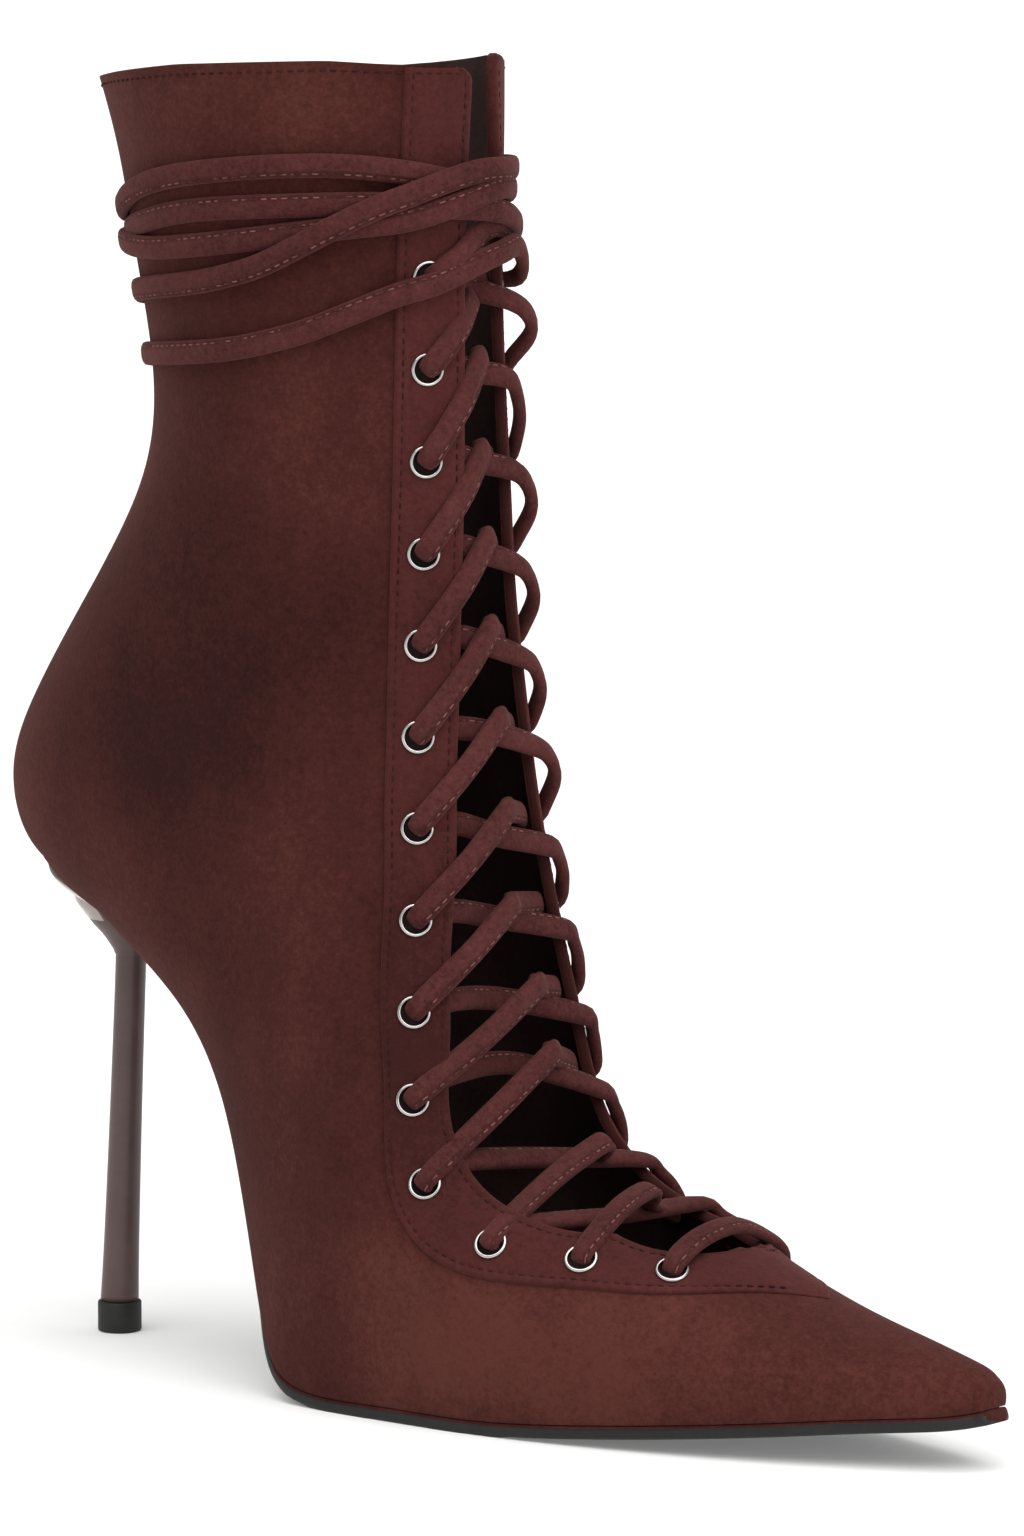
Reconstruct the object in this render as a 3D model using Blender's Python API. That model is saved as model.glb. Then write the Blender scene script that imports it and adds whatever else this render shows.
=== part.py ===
"""Lace-up ankle boot on a pin heel: right foot, EU 38.

Sizes are millimetres and become metres when a mesh is made. +X points to the toe, -Y to the outer
(lateral) side and +Z up. The heel tip and the ball of the sole stand on z = 0.
"""

import math
from typing import NamedTuple

import bmesh
import bpy
import numpy as np

MM = 0.001
MIDDLE_X = 104.5  # from the heel tip's centre forward to the middle of the boot's length
CLEARANCE = 0.3  # between pieces that touch in the real boot
WALL = 2.0  # suede and lining together
FACING_CLEARANCE = 0.5
FACING_THICKNESS = 1.0
SOLE_THICKNESS = 2.6
WAIST_THICKNESS = 2.0  # of the sole, under the arch
SOLE_WELT = 0.6  # how far the sole's edge stands out past the upper
INSOLE_THICKNESS = 1.6

LATERAL, MEDIAL = -1, 1


class Section(NamedTuple):
    """A cut across the boot, in a plane that holds its front and back points."""

    front_x: float
    front_z: float
    back_x: float
    back_z: float
    lateral: float  # greatest half width on the outer side
    medial: float  # greatest half width on the inner side
    widest: float  # where that is, as a share of the way from back to front
    crown: float  # superellipse power of the front half, outer side
    inner_crown: float  # and on the inner side
    side: float  # superellipse power of the back or bottom half
    tuck: float  # half width left open at the bottom, as a share of the greatest
    gap: float  # half width of the throat
    swing: float  # the centre line's shift towards the inner side
    facing: float  # arc from the crown to the facing's outer edge


# From the toe's nose, round under the heel, up to the collar.
SECTIONS = [
    Section(229.5, 15.4, 229.5, 12.7, 0.0, 0.0, 0.40, 2.0, 2.0, 2.6, 0.90, 0.0, 4.0, -66.0),
    Section(227.2, 19.2, 227.5, 12.1, 5.0, 4.6, 0.38, 2.0, 2.0, 2.6, 0.90, 0.0, 3.9, -58.0),
    Section(220.0, 21.5, 221.0, 11.0, 9.6, 8.6, 0.36, 2.0, 2.0, 2.6, 0.92, 0.0, 3.6, -42.0),
    Section(207.5, 24.6, 208.5, 10.0, 15.8, 13.6, 0.36, 2.0, 1.9, 2.6, 0.93, 0.0, 2.9, -22.0),
    Section(190.5, 29.4, 191.5, 8.2, 22.4, 19.2, 0.36, 2.0, 1.8, 2.6, 0.94, 0.0, 1.9, 0.0),
    Section(171.0, 36.8, 171.0, 6.1, 28.8, 25.4, 0.37, 2.0, 1.7, 2.6, 0.94, 0.0, 1.0, 21.5),
    Section(152.0, 43.6, 150.0, 4.2, 33.8, 31.6, 0.38, 2.1, 1.75, 2.6, 0.94, 18.0, 0.4, 33.4),
    Section(135.5, 49.5, 128.0, 2.9, 37.2, 35.6, 0.40, 2.2, 1.82, 2.6, 0.94, 25.5, 0.0, 41.9),
    Section(124.0, 57.0, 104.0, 2.9, 38.6, 37.0, 0.42, 2.2, 1.9, 2.6, 0.94, 26.0, 0.0, 45.4),
    Section(118.0, 69.0, 81.0, 4.4, 38.5, 36.0, 0.44, 2.2, 2.0, 2.6, 0.93, 24.5, 0.0, 44.1),
    Section(115.5, 82.0, 68.3, 19.5, 37.0, 34.0, 0.46, 2.2, 2.05, 2.5, 0.84, 21.5, 0.0, 39.8),
    Section(113.5, 95.5, 53.8, 49.5, 34.5, 33.0, 0.48, 2.1, 1.95, 2.4, 0.66, 18.5, 0.0, 35.3),
    Section(111.8, 110.0, 36.2, 74.5, 33.5, 33.0, 0.49, 2.1, 1.85, 2.4, 0.56, 15.5, 0.0, 31.3),
    Section(110.3, 125.5, 11.0, 93.0, 33.5, 33.0, 0.50, 2.0, 1.8, 2.4, 0.56, 13.2, 0.0, 28.8),
    Section(109.0, 140.5, -13.4, 102.4, 33.0, 32.5, 0.52, 2.0, 1.8, 2.2, 0.0, 11.5, 0.0, 27.0),
    Section(107.8, 155.0, -21.9, 116.0, 32.5, 32.0, 0.53, 2.0, 1.73, 2.2, 0.0, 10.2, 0.0, 25.6),
    Section(106.8, 169.0, -18.2, 133.0, 32.0, 31.5, 0.53, 2.0, 1.65, 2.1, 0.0, 9.2, 0.0, 24.4),
    Section(106.0, 184.0, -0.4, 159.0, 31.5, 31.0, 0.52, 2.0, 1.57, 2.0, 0.0, 8.4, 0.0, 23.4),
    Section(105.2, 200.0, 17.0, 185.0, 31.0, 30.5, 0.50, 2.0, 1.48, 2.0, 0.0, 7.8, 0.0, 22.5),
    Section(104.2, 218.0, 20.6, 208.0, 31.5, 31.0, 0.50, 2.0, 1.44, 2.0, 0.0, 7.0, 0.0, 21.6),
    Section(103.4, 237.0, 17.0, 231.0, 33.5, 33.0, 0.50, 2.0, 1.45, 2.0, 0.0, 6.2, 0.0, 20.7),
    Section(103.0, 255.5, 13.6, 251.5, 36.0, 35.5, 0.50, 2.0, 1.48, 2.0, 0.0, 5.0, 0.0, 19.8),
    Section(102.6, 273.0, 8.6, 268.5, 38.0, 37.5, 0.50, 2.0, 1.5, 2.0, 0.0, 3.6, 0.0, 18.9),
]
COLLAR = len(SECTIONS) - 1
THROAT_END = 5  # row where the throat closes on the vamp
SEAT_END = 14  # row where the opening underneath closes behind the heel

SOLE_END = 12.35  # row of the heel breast
SOLE_WAIST_MARGIN = -3.0

TIP_HEIGHT = 6.6
TIP_RADIUS = 4.7
PIN_LENGTH = 85.5
PIN_LEAN = 4.6  # how far the pin's top is ahead of its foot
PIN_LEVELS = [(0.0, 4.1), (0.15, 3.8), (0.5, 3.45), (0.88, 3.3), (0.95, 3.7), (1.0, 4.3)]
# Rows of the seat plate: row of the sections, half width, thickness.
SEAT_PLATE = [(12.45, 17.0, 2.0), (12.8, 17.0, 3.4), (13.1, 16.6, 4.8), (13.4, 14.8, 4.8)]
SEAT_PLATE += [(13.7, 11.2, 3.6), (13.95, 6.6, 2.2), (14.1, 3.0, 1.0)]

FACING_POINT = 4.02  # row of the facing's point on the vamp

EYELETS = 14
EYELET_INSET = 8.0  # from the throat's edge to an eyelet's centre
EYELET_TOP = 44.5  # from the collar down to the first one
EYELET_PITCH = 18.5
EYELET_RADIUS = 3.4
EYELET_BORE = 2.3
EYELET_HEIGHT = 0.9
EYELET_SIDES = 8

LACE_WIDTH = 5.2
LACE_THICKNESS = 1.6
LACE_OVER = 4.8  # height of the lace's middle over an eyelet
LACE_UNDER = -4.4  # and under the wall on the other side
WRAP_STEP = 9.0  # between the points of a wound end
# Routes of the lace's two ends round the shaft: turns from the front, outer side first; height; lift.
WRAP_NEAR = [(-0.14, 234.0, 2.4), (-0.3, 229.0, 2.0), (-0.5, 224.0, 2.0), (-0.6, 225.0, 2.0)]
WRAP_NEAR += [(-0.72, 227.2, 2.0), (-0.78, 229.4, 2.8), (-0.81, 232.0, 3.8), (-0.84, 235.6, 4.6)]
WRAP_NEAR += [(-0.87, 239.6, 5.6), (-0.9, 243.2, 6.4), (-0.925, 246.2, 6.4), (-0.95, 248.9, 5.9)]
WRAP_NEAR += [(-0.98, 251.0, 4.4), (-1.02, 252.0, 3.5), (-1.07, 252.0, 3.4), (-1.13, 251.4, 2.4)]
WRAP_NEAR += [(-1.3, 248.0, 2.0), (-1.5, 244.8, 2.0), (-1.6, 246.0, 2.0), (-1.7, 248.4, 2.0)]
WRAP_NEAR += [(-1.8, 250.8, 2.0), (-1.88, 251.4, 2.4), (-1.94, 250.6, 3.3)]
WRAP_FAR = [(0.09, 225.5, 4.8), (0.13, 221.5, 3.6), (0.18, 217.0, 2.1), (0.26, 213.0, 2.0)]
WRAP_FAR += [(0.4, 211.0, 2.0), (0.5, 210.5, 2.0), (0.62, 215.0, 2.0), (0.71, 221.4, 2.8)]
WRAP_FAR += [(0.76, 226.6, 4.3), (0.88, 236.2, 4.3), (0.94, 238.6, 3.6), (1.0, 240.0, 3.3)]
WRAP_FAR += [(1.06, 242.4, 3.3), (1.12, 243.4, 2.4), (1.26, 242.0, 2.0), (1.4, 239.8, 2.0)]
WRAP_FAR += [(1.5, 238.2, 2.0), (1.65, 239.8, 2.0), (1.8, 243.4, 2.0), (1.9, 245.0, 2.6)]
WRAP_FAR += [(1.96, 245.8, 3.4), (2.0, 245.8, 3.6), (2.04, 243.2, 4.5), (2.08, 240.2, 4.2)]
WRAP_FAR += [(2.12, 238.6, 2.8), (2.17, 236.8, 2.1), (2.26, 235.4, 2.0), (2.34, 234.2, 2.0)]
WRAP_FAR += [(2.42, 234.0, 2.0), (2.47, 234.2, 2.0)]


def spline(values):
    """Second derivatives of the natural cubic through values at 0, 1, 2 and so on."""
    count = len(values)
    system = np.eye(count)
    right = np.zeros(count)
    for row in range(1, count - 1):
        system[row, row - 1 : row + 2] = (1, 4, 1)
        right[row] = 6 * (values[row - 1] - 2 * values[row] + values[row + 1])
    return np.linalg.solve(system, right)


COLUMNS = {name: np.array([getattr(row, name) for row in SECTIONS]) for name in Section._fields}
BENDS = {name: spline(values) for name, values in COLUMNS.items()}


def size(name, k):
    """A column of the table at row k, which may lie between rows."""
    low = min(int(k), COLLAR - 1)
    t = k - low
    values, bends = COLUMNS[name], BENDS[name]
    start = (1 - t) * values[low] + ((1 - t) ** 3 - (1 - t)) * bends[low] / 6
    return start + t * values[low + 1] + (t**3 - t) * bends[low + 1] / 6


def half_width(k, side):
    """Greatest half width at row k; the nose is round, so it opens out like a circle."""
    name = "lateral" if side == LATERAL else "medial"
    if k < 1:
        return COLUMNS[name][1] * math.sqrt(max(0.0, 1 - (1 - k) ** 2))
    return size(name, k)


def throat(k):
    """Half width of the throat at row k, with a round end on the vamp."""
    if k <= THROAT_END:
        return 0.0
    if k < THROAT_END + 1:
        return COLUMNS["gap"][THROAT_END + 1] * math.sqrt(1 - (THROAT_END + 1 - k) ** 2)
    return size("gap", k)


def tuck(k):
    """Share of the half width that stays open underneath, with a round end behind the heel."""
    if k >= SEAT_END:
        return 0.0
    if k > SEAT_END - 1:
        return COLUMNS["tuck"][SEAT_END - 1] * math.sqrt(1 - (k - SEAT_END + 1) ** 2)
    return size("tuck", k)


def bottom(k):
    """Point on the bottom and back profile at row k, as x and z."""
    return np.array([size("back_x", k), size("back_z", k)])


def half_section(k, side, samples=40):
    """Half of a section from the crown to the bottom edge: arc lengths, half widths and points."""
    front = np.array([size("front_x", k), size("front_z", k)])
    back = bottom(k)
    wide = half_width(k, side)
    widest = size("widest", k)
    crown = size("crown" if side == LATERAL else "inner_crown", k)
    power = size("side", k)
    angle = np.linspace(0, math.pi / 2, samples)
    upper_share = widest + (1 - widest) * np.cos(angle) ** (2 / crown)
    upper_y = wide * np.sin(angle) ** (2 / crown)
    reach = (1 - tuck(k) ** power) ** (1 / power)
    last = math.asin(min(1.0, reach ** (power / 2)))
    angle = np.linspace(0, last, samples)[1:]
    lower_share = widest * (1 - np.sin(angle) ** (2 / power) / reach)
    lower_y = wide * np.maximum(0.0, np.cos(angle)) ** (2 / power)
    share = np.concatenate([upper_share, lower_share])
    across = np.concatenate([upper_y, lower_y])
    if tuck(k) == 0:
        across[-1] = 0.0
    flat = back + share[:, None] * (front - back)
    y = side * across + size("swing", k)
    points = np.stack([flat[:, 0] - MIDDLE_X, y, flat[:, 1]], axis=1)
    steps = np.linalg.norm(np.diff(points, axis=0), axis=1)
    arc = np.concatenate([[0.0], np.cumsum(steps)])
    return arc, across, points, samples


def throat_arc(k, side):
    """Arc length from the crown to the throat's edge."""
    arc, across, _, samples = half_section(k, side)
    return float(np.interp(throat(k), across[:samples], arc[:samples]))


def full_arc(k, side):
    """Arc length from the crown to the bottom edge."""
    return float(half_section(k, side)[0][-1])


def surface(k, side, along):
    """Point of the outer form at an arc length from the crown; a negative one is on the other side."""
    if along < 0:
        side, along = -side, -along
    arc, _, points, _ = half_section(k, side)
    return np.array([np.interp(along, arc, points[:, axis]) for axis in range(3)])


def outward(k, side, along):
    """Unit normal of the outer form."""
    ahead = surface(min(COLLAR, k + 0.05), side, along) - surface(max(0.05, k - 0.05), side, along)
    if along < 0.4:
        across = surface(k, side, along + 0.4) - surface(k, side, along - 0.4)
    else:
        limit = full_arc(k, side)
        across = surface(k, side, min(limit, along + 0.4)) - surface(k, side, along - 0.4)
    normal = np.cross(across, ahead) * side
    return normal / np.linalg.norm(normal)


def lifted(k, side, along, height):
    """Point at a height over the outer form."""
    return surface(k, side, along) + height * outward(k, side, along)


def finish_object(name, mesh_data, colour, roughness, metallic=0.0):
    """A named object with its own material, from a bmesh in millimetres."""
    bmesh.ops.scale(mesh_data, vec=(MM, MM, MM), verts=mesh_data.verts)
    mesh = bpy.data.meshes.new(name)
    mesh_data.to_mesh(mesh)
    mesh_data.free()
    piece = bpy.data.objects.new(name, mesh)
    bpy.context.collection.objects.link(piece)
    material = bpy.data.materials.new(name)
    material.use_nodes = True
    shader = material.node_tree.nodes["Principled BSDF"]
    shader.inputs["Base Color"].default_value = (*colour, 1.0)
    shader.inputs["Roughness"].default_value = roughness
    shader.inputs["Metallic"].default_value = metallic
    mesh.materials.append(material)
    return piece


def add_grid(target, rows, side):
    """Quads between rows of points of equal length, facing out of the boot on their side."""
    verts = [[target.verts.new(point) for point in row] for row in rows]
    for near, far in zip(verts[:-1], verts[1:]):
        for a, b, c, d in zip(near[:-1], near[1:], far[1:], far[:-1]):
            target.faces.new((a, b, c, d) if side == MEDIAL else (d, c, b, a))


def weld(target):
    """Merge the edges that meet and drop what collapsed there."""
    bmesh.ops.remove_doubles(target, verts=target.verts, dist=0.01)
    bmesh.ops.dissolve_degenerate(target, edges=target.edges, dist=0.005)


def thicken(piece, thickness, offset):
    """Give an open sheet its thickness, inwards for offset -1 and outwards for 1."""
    modifier = piece.modifiers.new("thickness", "SOLIDIFY")
    modifier.thickness = thickness * MM
    modifier.offset = offset
    modifier.use_even_offset = True
    modifier.use_quality_normals = True


def upper_rows():
    """Rows of the table where the upper's mesh has a ring of points."""
    nose = [0.0, 0.12, 0.4, 1.0, 1.6, 2.3, 3.1, FACING_POINT, 4.3, 4.65]
    throat_round = [5.0, 5.04, 5.16, 5.36, 5.64, 6.0]
    foot = list(np.arange(6.5, 13.01, 0.5))
    seat_round = [13.36, 13.64, 13.84, 13.96, 14.0]
    return nose + throat_round + foot + seat_round + list(np.arange(14.5, COLLAR + 0.01, 0.5))


def build_upper():
    """The hollow suede wall."""
    columns = 9
    target = bmesh.new()
    for side in (LATERAL, MEDIAL):
        rows = []
        for k in upper_rows():
            places = np.linspace(throat_arc(k, side), full_arc(k, side), columns + 1)
            rows.append([surface(k, side, along) for along in places])
        add_grid(target, rows, side)
    weld(target)
    piece = finish_object("upper", target, (0.10, 0.03, 0.03), 0.95)
    thicken(piece, WALL, -1)
    return piece


def seat_frame(k):
    """Point on the bottom profile at row k and the unit direction out of the boot there, as x and z."""
    along = bottom(min(SEAT_END + 0.5, k + 0.05)) - bottom(max(0.0, k - 0.05))
    along /= np.linalg.norm(along)
    return bottom(k) - np.array([MIDDLE_X, 0.0]), np.array([-along[1], along[0]])


def board(stations):
    """A closed board along the bottom profile; each station is a row k and the corners of its cut.

    A corner is a pair: how far across, towards the inner side, and how far out of the boot.
    """
    target = bmesh.new()
    rings = []
    for k, corners in stations:
        point, down = seat_frame(k)
        ring = []
        for across, out in corners:
            x, z = point + out * down
            if z < 0.25:
                z = 0.0
            ring.append(target.verts.new((x, across + size("swing", k), z)))
        rings.append(ring)
    count = len(rings[0])
    for near, far in zip(rings[:-1], rings[1:]):
        for i in range(count):
            j = (i + 1) % count
            target.faces.new((near[i], near[j], far[j], far[i]))
    target.faces.new(rings[0])
    target.faces.new(rings[-1])
    bmesh.ops.recalc_face_normals(target, faces=target.faces)
    return target


def build_outsole():
    """The thin sole, flat under the ball, sprung at the toe and narrow under the arch."""
    stations = []
    for k in [0.2, 0.4, 0.7, *np.arange(1.0, 12.01, 0.5), SOLE_END]:
        waist = float(np.interp(k, (9.0, 10.3), (0.0, 1.0)))
        thickness = SOLE_THICKNESS + waist * (WAIST_THICKNESS - SOLE_THICKNESS)
        margin = SOLE_WELT + waist * (SOLE_WAIST_MARGIN - SOLE_WELT)
        outer = -tuck(k) * half_width(k, LATERAL) - margin
        inner = tuck(k) * half_width(k, MEDIAL) + margin
        top, edge, low = CLEARANCE, CLEARANCE + 0.7 * thickness, CLEARANCE + thickness
        corners = [(outer, top), (inner, top), (inner, edge)]
        corners += [(inner - 0.7, low), (outer + 0.7, low), (outer, edge)]
        stations.append((k, corners))
    return finish_object("outsole", board(stations), (0.02, 0.02, 0.02), 0.45)


def build_insole():
    """The board inside, between the upper's lower edges."""
    stations = []
    for k in [1.2, *np.arange(1.5, 13.01, 0.5), 13.3]:
        outer = -tuck(k) * half_width(k, LATERAL) + WALL + 0.7
        inner = tuck(k) * half_width(k, MEDIAL) - WALL - 0.7
        low, top = -0.1, -0.1 - INSOLE_THICKNESS
        stations.append((k, [(outer, low), (inner, low), (inner, top), (outer, top)]))
    return finish_object("insole", board(stations), (0.03, 0.025, 0.025), 0.8)


def ring_stack(levels, sides=16):
    """A closed turned solid; a level is its centre's x, its height and its radius."""
    target = bmesh.new()
    rings = []
    for x, z, radius in levels:
        ring = []
        for step in range(sides):
            turn = 2 * math.pi * step / sides
            ring.append(target.verts.new((x + radius * math.cos(turn), radius * math.sin(turn), z)))
        rings.append(ring)
    for near, far in zip(rings[:-1], rings[1:]):
        for i in range(sides):
            j = (i + 1) % sides
            target.faces.new((near[i], near[j], far[j], far[i]))
    target.faces.new(rings[0])
    target.faces.new(rings[-1])
    bmesh.ops.recalc_face_normals(target, faces=target.faces)
    return target


def build_heel():
    """The pin and the seat plate that it is one piece with, and the tip below it."""
    stations = []
    for k, half, thickness in SEAT_PLATE:
        top, low = CLEARANCE, CLEARANCE + thickness
        corners = [(-half, top), (half, top), (half, top + 0.6 * thickness)]
        corners += [(0.5 * half, low), (-0.5 * half, low), (-half, top + 0.6 * thickness)]
        stations.append((k, corners))
    heel = finish_object("heel", board(stations), (0.10, 0.07, 0.065), 0.35, 0.3)
    levels = []
    for share, radius in PIN_LEVELS:
        levels.append((share * PIN_LEAN - MIDDLE_X, TIP_HEIGHT + CLEARANCE + share * PIN_LENGTH, radius))
    pin = finish_object("heel_pin_guide", ring_stack(levels), (0.10, 0.07, 0.065), 0.35)
    pin.hide_render = True
    pin.display_type = "WIRE"
    join = heel.modifiers.new("pin", "BOOLEAN")
    join.operation = "UNION"
    join.solver = "EXACT"
    join.object = pin
    bevel = 0.4
    levels = [(-MIDDLE_X, 0.0, TIP_RADIUS - bevel), (-MIDDLE_X, bevel, TIP_RADIUS)]
    levels += [(-MIDDLE_X, TIP_HEIGHT, TIP_RADIUS)]
    finish_object("heel_tip", ring_stack(levels), (0.02, 0.02, 0.02), 0.6)
    return heel


def facing_width(k):
    """Width of the facing from the throat's edge, at row k."""
    if k <= FACING_POINT:
        return 0.0
    return size("facing", k) - throat_arc(k, LATERAL)


def build_facing():
    """The raised facing round the throat, pointed on the vamp."""
    rows_k = [FACING_POINT, 4.3, 4.65, 5.0, 5.04, 5.16, 5.36, 5.64, 6.0]
    rows_k += list(np.arange(6.5, COLLAR + 0.01, 0.5))
    target = bmesh.new()
    for side in (LATERAL, MEDIAL):
        rows = []
        for k in rows_k:
            start = throat_arc(k, side)
            places = start + facing_width(k) * np.linspace(0, 1, 4)
            rows.append([lifted(k, side, along, FACING_CLEARANCE) for along in places])
        add_grid(target, rows, side)
    weld(target)
    piece = finish_object("eyestay", target, (0.10, 0.03, 0.03), 0.95)
    thicken(piece, FACING_THICKNESS, 1)
    return piece


def eyelet_rows(side):
    """Rows where the eyelets sit, evenly spaced along the facing from the top one down."""
    rows = np.arange(COLLAR, THROAT_END, -0.05)
    line = [surface(k, side, throat_arc(k, side) + EYELET_INSET) for k in rows]
    steps = np.linalg.norm(np.diff(line, axis=0), axis=1)
    along = np.concatenate([[0.0], np.cumsum(steps)])
    return [float(np.interp(EYELET_TOP + i * EYELET_PITCH, along, rows)) for i in range(EYELETS)]


def build_eyelets():
    """A flat ring round each eyelet hole, lying on the facing."""
    for side, word in ((LATERAL, "lateral"), (MEDIAL, "medial")):
        for number, k in enumerate(eyelet_rows(side), 1):
            along = throat_arc(k, side) + EYELET_INSET
            axis = outward(k, side, along)
            first = surface(k, side, along + 1) - surface(k, side, along - 1)
            first -= axis * np.dot(first, axis)
            first /= np.linalg.norm(first)
            second = np.cross(axis, first)
            middle = lifted(k, side, along, FACING_CLEARANCE + FACING_THICKNESS + 0.5)
            low, high = middle, middle + EYELET_HEIGHT * axis
            target = bmesh.new()
            rings = []
            for base, radius in ((low, EYELET_BORE), (low, EYELET_RADIUS), (high, EYELET_RADIUS - 0.3),
                                 (high, EYELET_BORE + 0.2)):
                ring = []
                for step in range(EYELET_SIDES):
                    turn = 2 * math.pi * step / EYELET_SIDES
                    away = math.cos(turn) * first + math.sin(turn) * second
                    ring.append(target.verts.new(base + radius * away))
                rings.append(ring)
            for near, far in zip(rings, rings[1:] + rings[:1]):
                for i in range(EYELET_SIDES):
                    j = (i + 1) % EYELET_SIDES
                    target.faces.new((near[i], near[j], far[j], far[i]))
            bmesh.ops.recalc_face_normals(target, faces=target.faces)
            finish_object(f"eyelet_{word}_{number:02d}", target, (0.6, 0.6, 0.6), 0.2, 1.0)


def ribbon(points, ups):
    """A closed flat lace along points, its flat side facing ups."""
    target = bmesh.new()
    rings = []
    for i, point in enumerate(points):
        ahead = points[min(i + 1, len(points) - 1)] - points[max(i - 1, 0)]
        ahead /= np.linalg.norm(ahead)
        up = ups[i] - ahead * np.dot(ups[i], ahead)
        up /= np.linalg.norm(up)
        wide = np.cross(ahead, up) * LACE_WIDTH / 2
        thick = up * LACE_THICKNESS / 2
        corners = (wide + 0.3 * thick, 0.75 * wide + thick, -0.75 * wide + thick)
        corners += (-wide + 0.3 * thick, -0.75 * wide - thick, 0.75 * wide - thick)
        rings.append([target.verts.new(point + corner) for corner in corners])
    for near, far in zip(rings[:-1], rings[1:]):
        for i in range(6):
            j = (i + 1) % 6
            target.faces.new((near[i], near[j], far[j], far[i]))
    target.faces.new(rings[0])
    target.faces.new(rings[-1])
    bmesh.ops.recalc_face_normals(target, faces=target.faces)
    return target


def smooth_route(rows, count):
    """Points evenly along a Catmull-Rom curve through rows of numbers."""
    rows = np.array(rows, float)
    padded = np.vstack([2 * rows[0] - rows[1], rows, 2 * rows[-1] - rows[-2]])
    found = []
    for place in np.linspace(0, len(rows) - 1, count):
        i = min(int(place), len(rows) - 2)
        t = place - i
        a, b, c, d = padded[i : i + 4]
        square = (2 * a - 5 * b + 4 * c - d) * t**2
        cube = (3 * b - a - 3 * c + d) * t**3
        found.append(0.5 * (2 * b + (c - a) * t + square + cube))
    return found


def crown_rise(k):
    """How far the crown stands over the straight line between the throat's edges."""
    edges = (surface(k, LATERAL, throat_arc(k, LATERAL)) + surface(k, MEDIAL, throat_arc(k, MEDIAL))) / 2
    return float(np.dot(surface(k, LATERAL, 0.0) - edges, outward(k, LATERAL, 0.0)))


def strand(low, high, side, middle_lift):
    """A lace strand from over the eyelet at row low, across the throat, to under the wall at row high."""
    middle = (low + high) / 2
    start = throat_arc(low, side)
    end = throat_arc(high, -side)
    drop = 0.55 * crown_rise(middle)
    route = [(low, start + EYELET_INSET, LACE_OVER)]
    route += [(low + 0.3 * (high - low), start + 1.0, LACE_OVER - 0.4)]
    route += [(middle, 0.0, middle_lift - drop)]
    route += [(low + 0.75 * (high - low), 3.5 - end, LACE_UNDER)]
    route += [(high, -end - 4.0, LACE_UNDER)]
    points, ups = [], []
    for k, along, lift in smooth_route(route, 7):
        points.append(lifted(k, side, along, lift))
        ups.append(outward(k, side, along))
    return ribbon(points, ups)


def build_lacing():
    """The bar across the lowest eyelets and the crossings above it."""
    outer, inner = eyelet_rows(LATERAL), eyelet_rows(MEDIAL)
    colour, roughness = (0.13, 0.04, 0.04), 0.95
    last = EYELETS - 1
    points, ups = [], []
    for share in np.linspace(-1, 1, 9):
        k = outer[last] - 0.25 * (1 - share**2)
        along = share * (throat_arc(outer[last], LATERAL) + EYELET_INSET)
        points.append(lifted(k, MEDIAL, along, LACE_OVER))
        ups.append(outward(k, MEDIAL, along))
    finish_object("lace_bar", ribbon(points, ups), colour, roughness)
    for number in range(last - 1, 0, -1):
        below = finish_object(f"lace_crossing_{number:02d}",
                              strand(inner[number], outer[number - 1], MEDIAL, 0.1), colour, roughness)
        above = finish_object(f"lace_over_guide_{number:02d}",
                              strand(outer[number], inner[number - 1], LATERAL, 1.9), colour, roughness)
        above.hide_render = True
        above.display_type = "WIRE"
        join = below.modifiers.new("strand", "BOOLEAN")
        join.operation = "UNION"
        join.solver = "EXACT"
        join.object = above


def shaft_point(turn, height):
    """Row, side and arc of the point on the shaft at a turn from the front and a height."""
    share = turn % 1.0
    side = LATERAL if share <= 0.5 else MEDIAL
    part = 2 * share if side == LATERAL else 2 * (1 - share)
    low, high = 16.0, float(COLLAR)
    for _ in range(24):
        k = (low + high) / 2
        if surface(k, side, part * full_arc(k, side))[2] < height:
            low = k
        else:
            high = k
    return low, side, part * full_arc(low, side)


def build_wraps():
    """The lace's two ends, wound round the shaft."""
    for name, route in (("lace_wrap_near", WRAP_NEAR), ("lace_wrap_far", WRAP_FAR)):
        points, ups = [], []
        for turn, height, lift in smooth_route(route, 10 * len(route)):
            k, side, along = shaft_point(turn, height)
            point = lifted(k, side, along, lift)
            if not points or np.linalg.norm(point - points[-1]) > WRAP_STEP:
                points.append(point)
                ups.append(outward(k, side, along))
        finish_object(name, ribbon(points, ups), (0.13, 0.04, 0.04), 0.95)


def main():
    """Build every piece of the boot."""
    for old in list(bpy.data.objects):
        bpy.data.objects.remove(old)
    build_outsole()
    build_insole()
    build_heel()
    build_upper()
    build_facing()
    build_eyelets()
    build_lacing()
    build_wraps()


main()
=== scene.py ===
"""Looks of a laced suede ankle boot on a pin heel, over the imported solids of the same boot.

Tables and sizes are millimetres, and meshes are metres. +X points to the toe, -Y to the outer
side and +Z up. A place on the boot is a row k of the section table and a signed arc s from the
crown of that section, negative on the outer side.
"""

import logging
import math
from dataclasses import dataclass, field
from enum import Enum
from functools import lru_cache
from typing import NamedTuple, Sequence

import bmesh
import bpy
import numpy as np
from mathutils import Matrix, Vector


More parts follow.
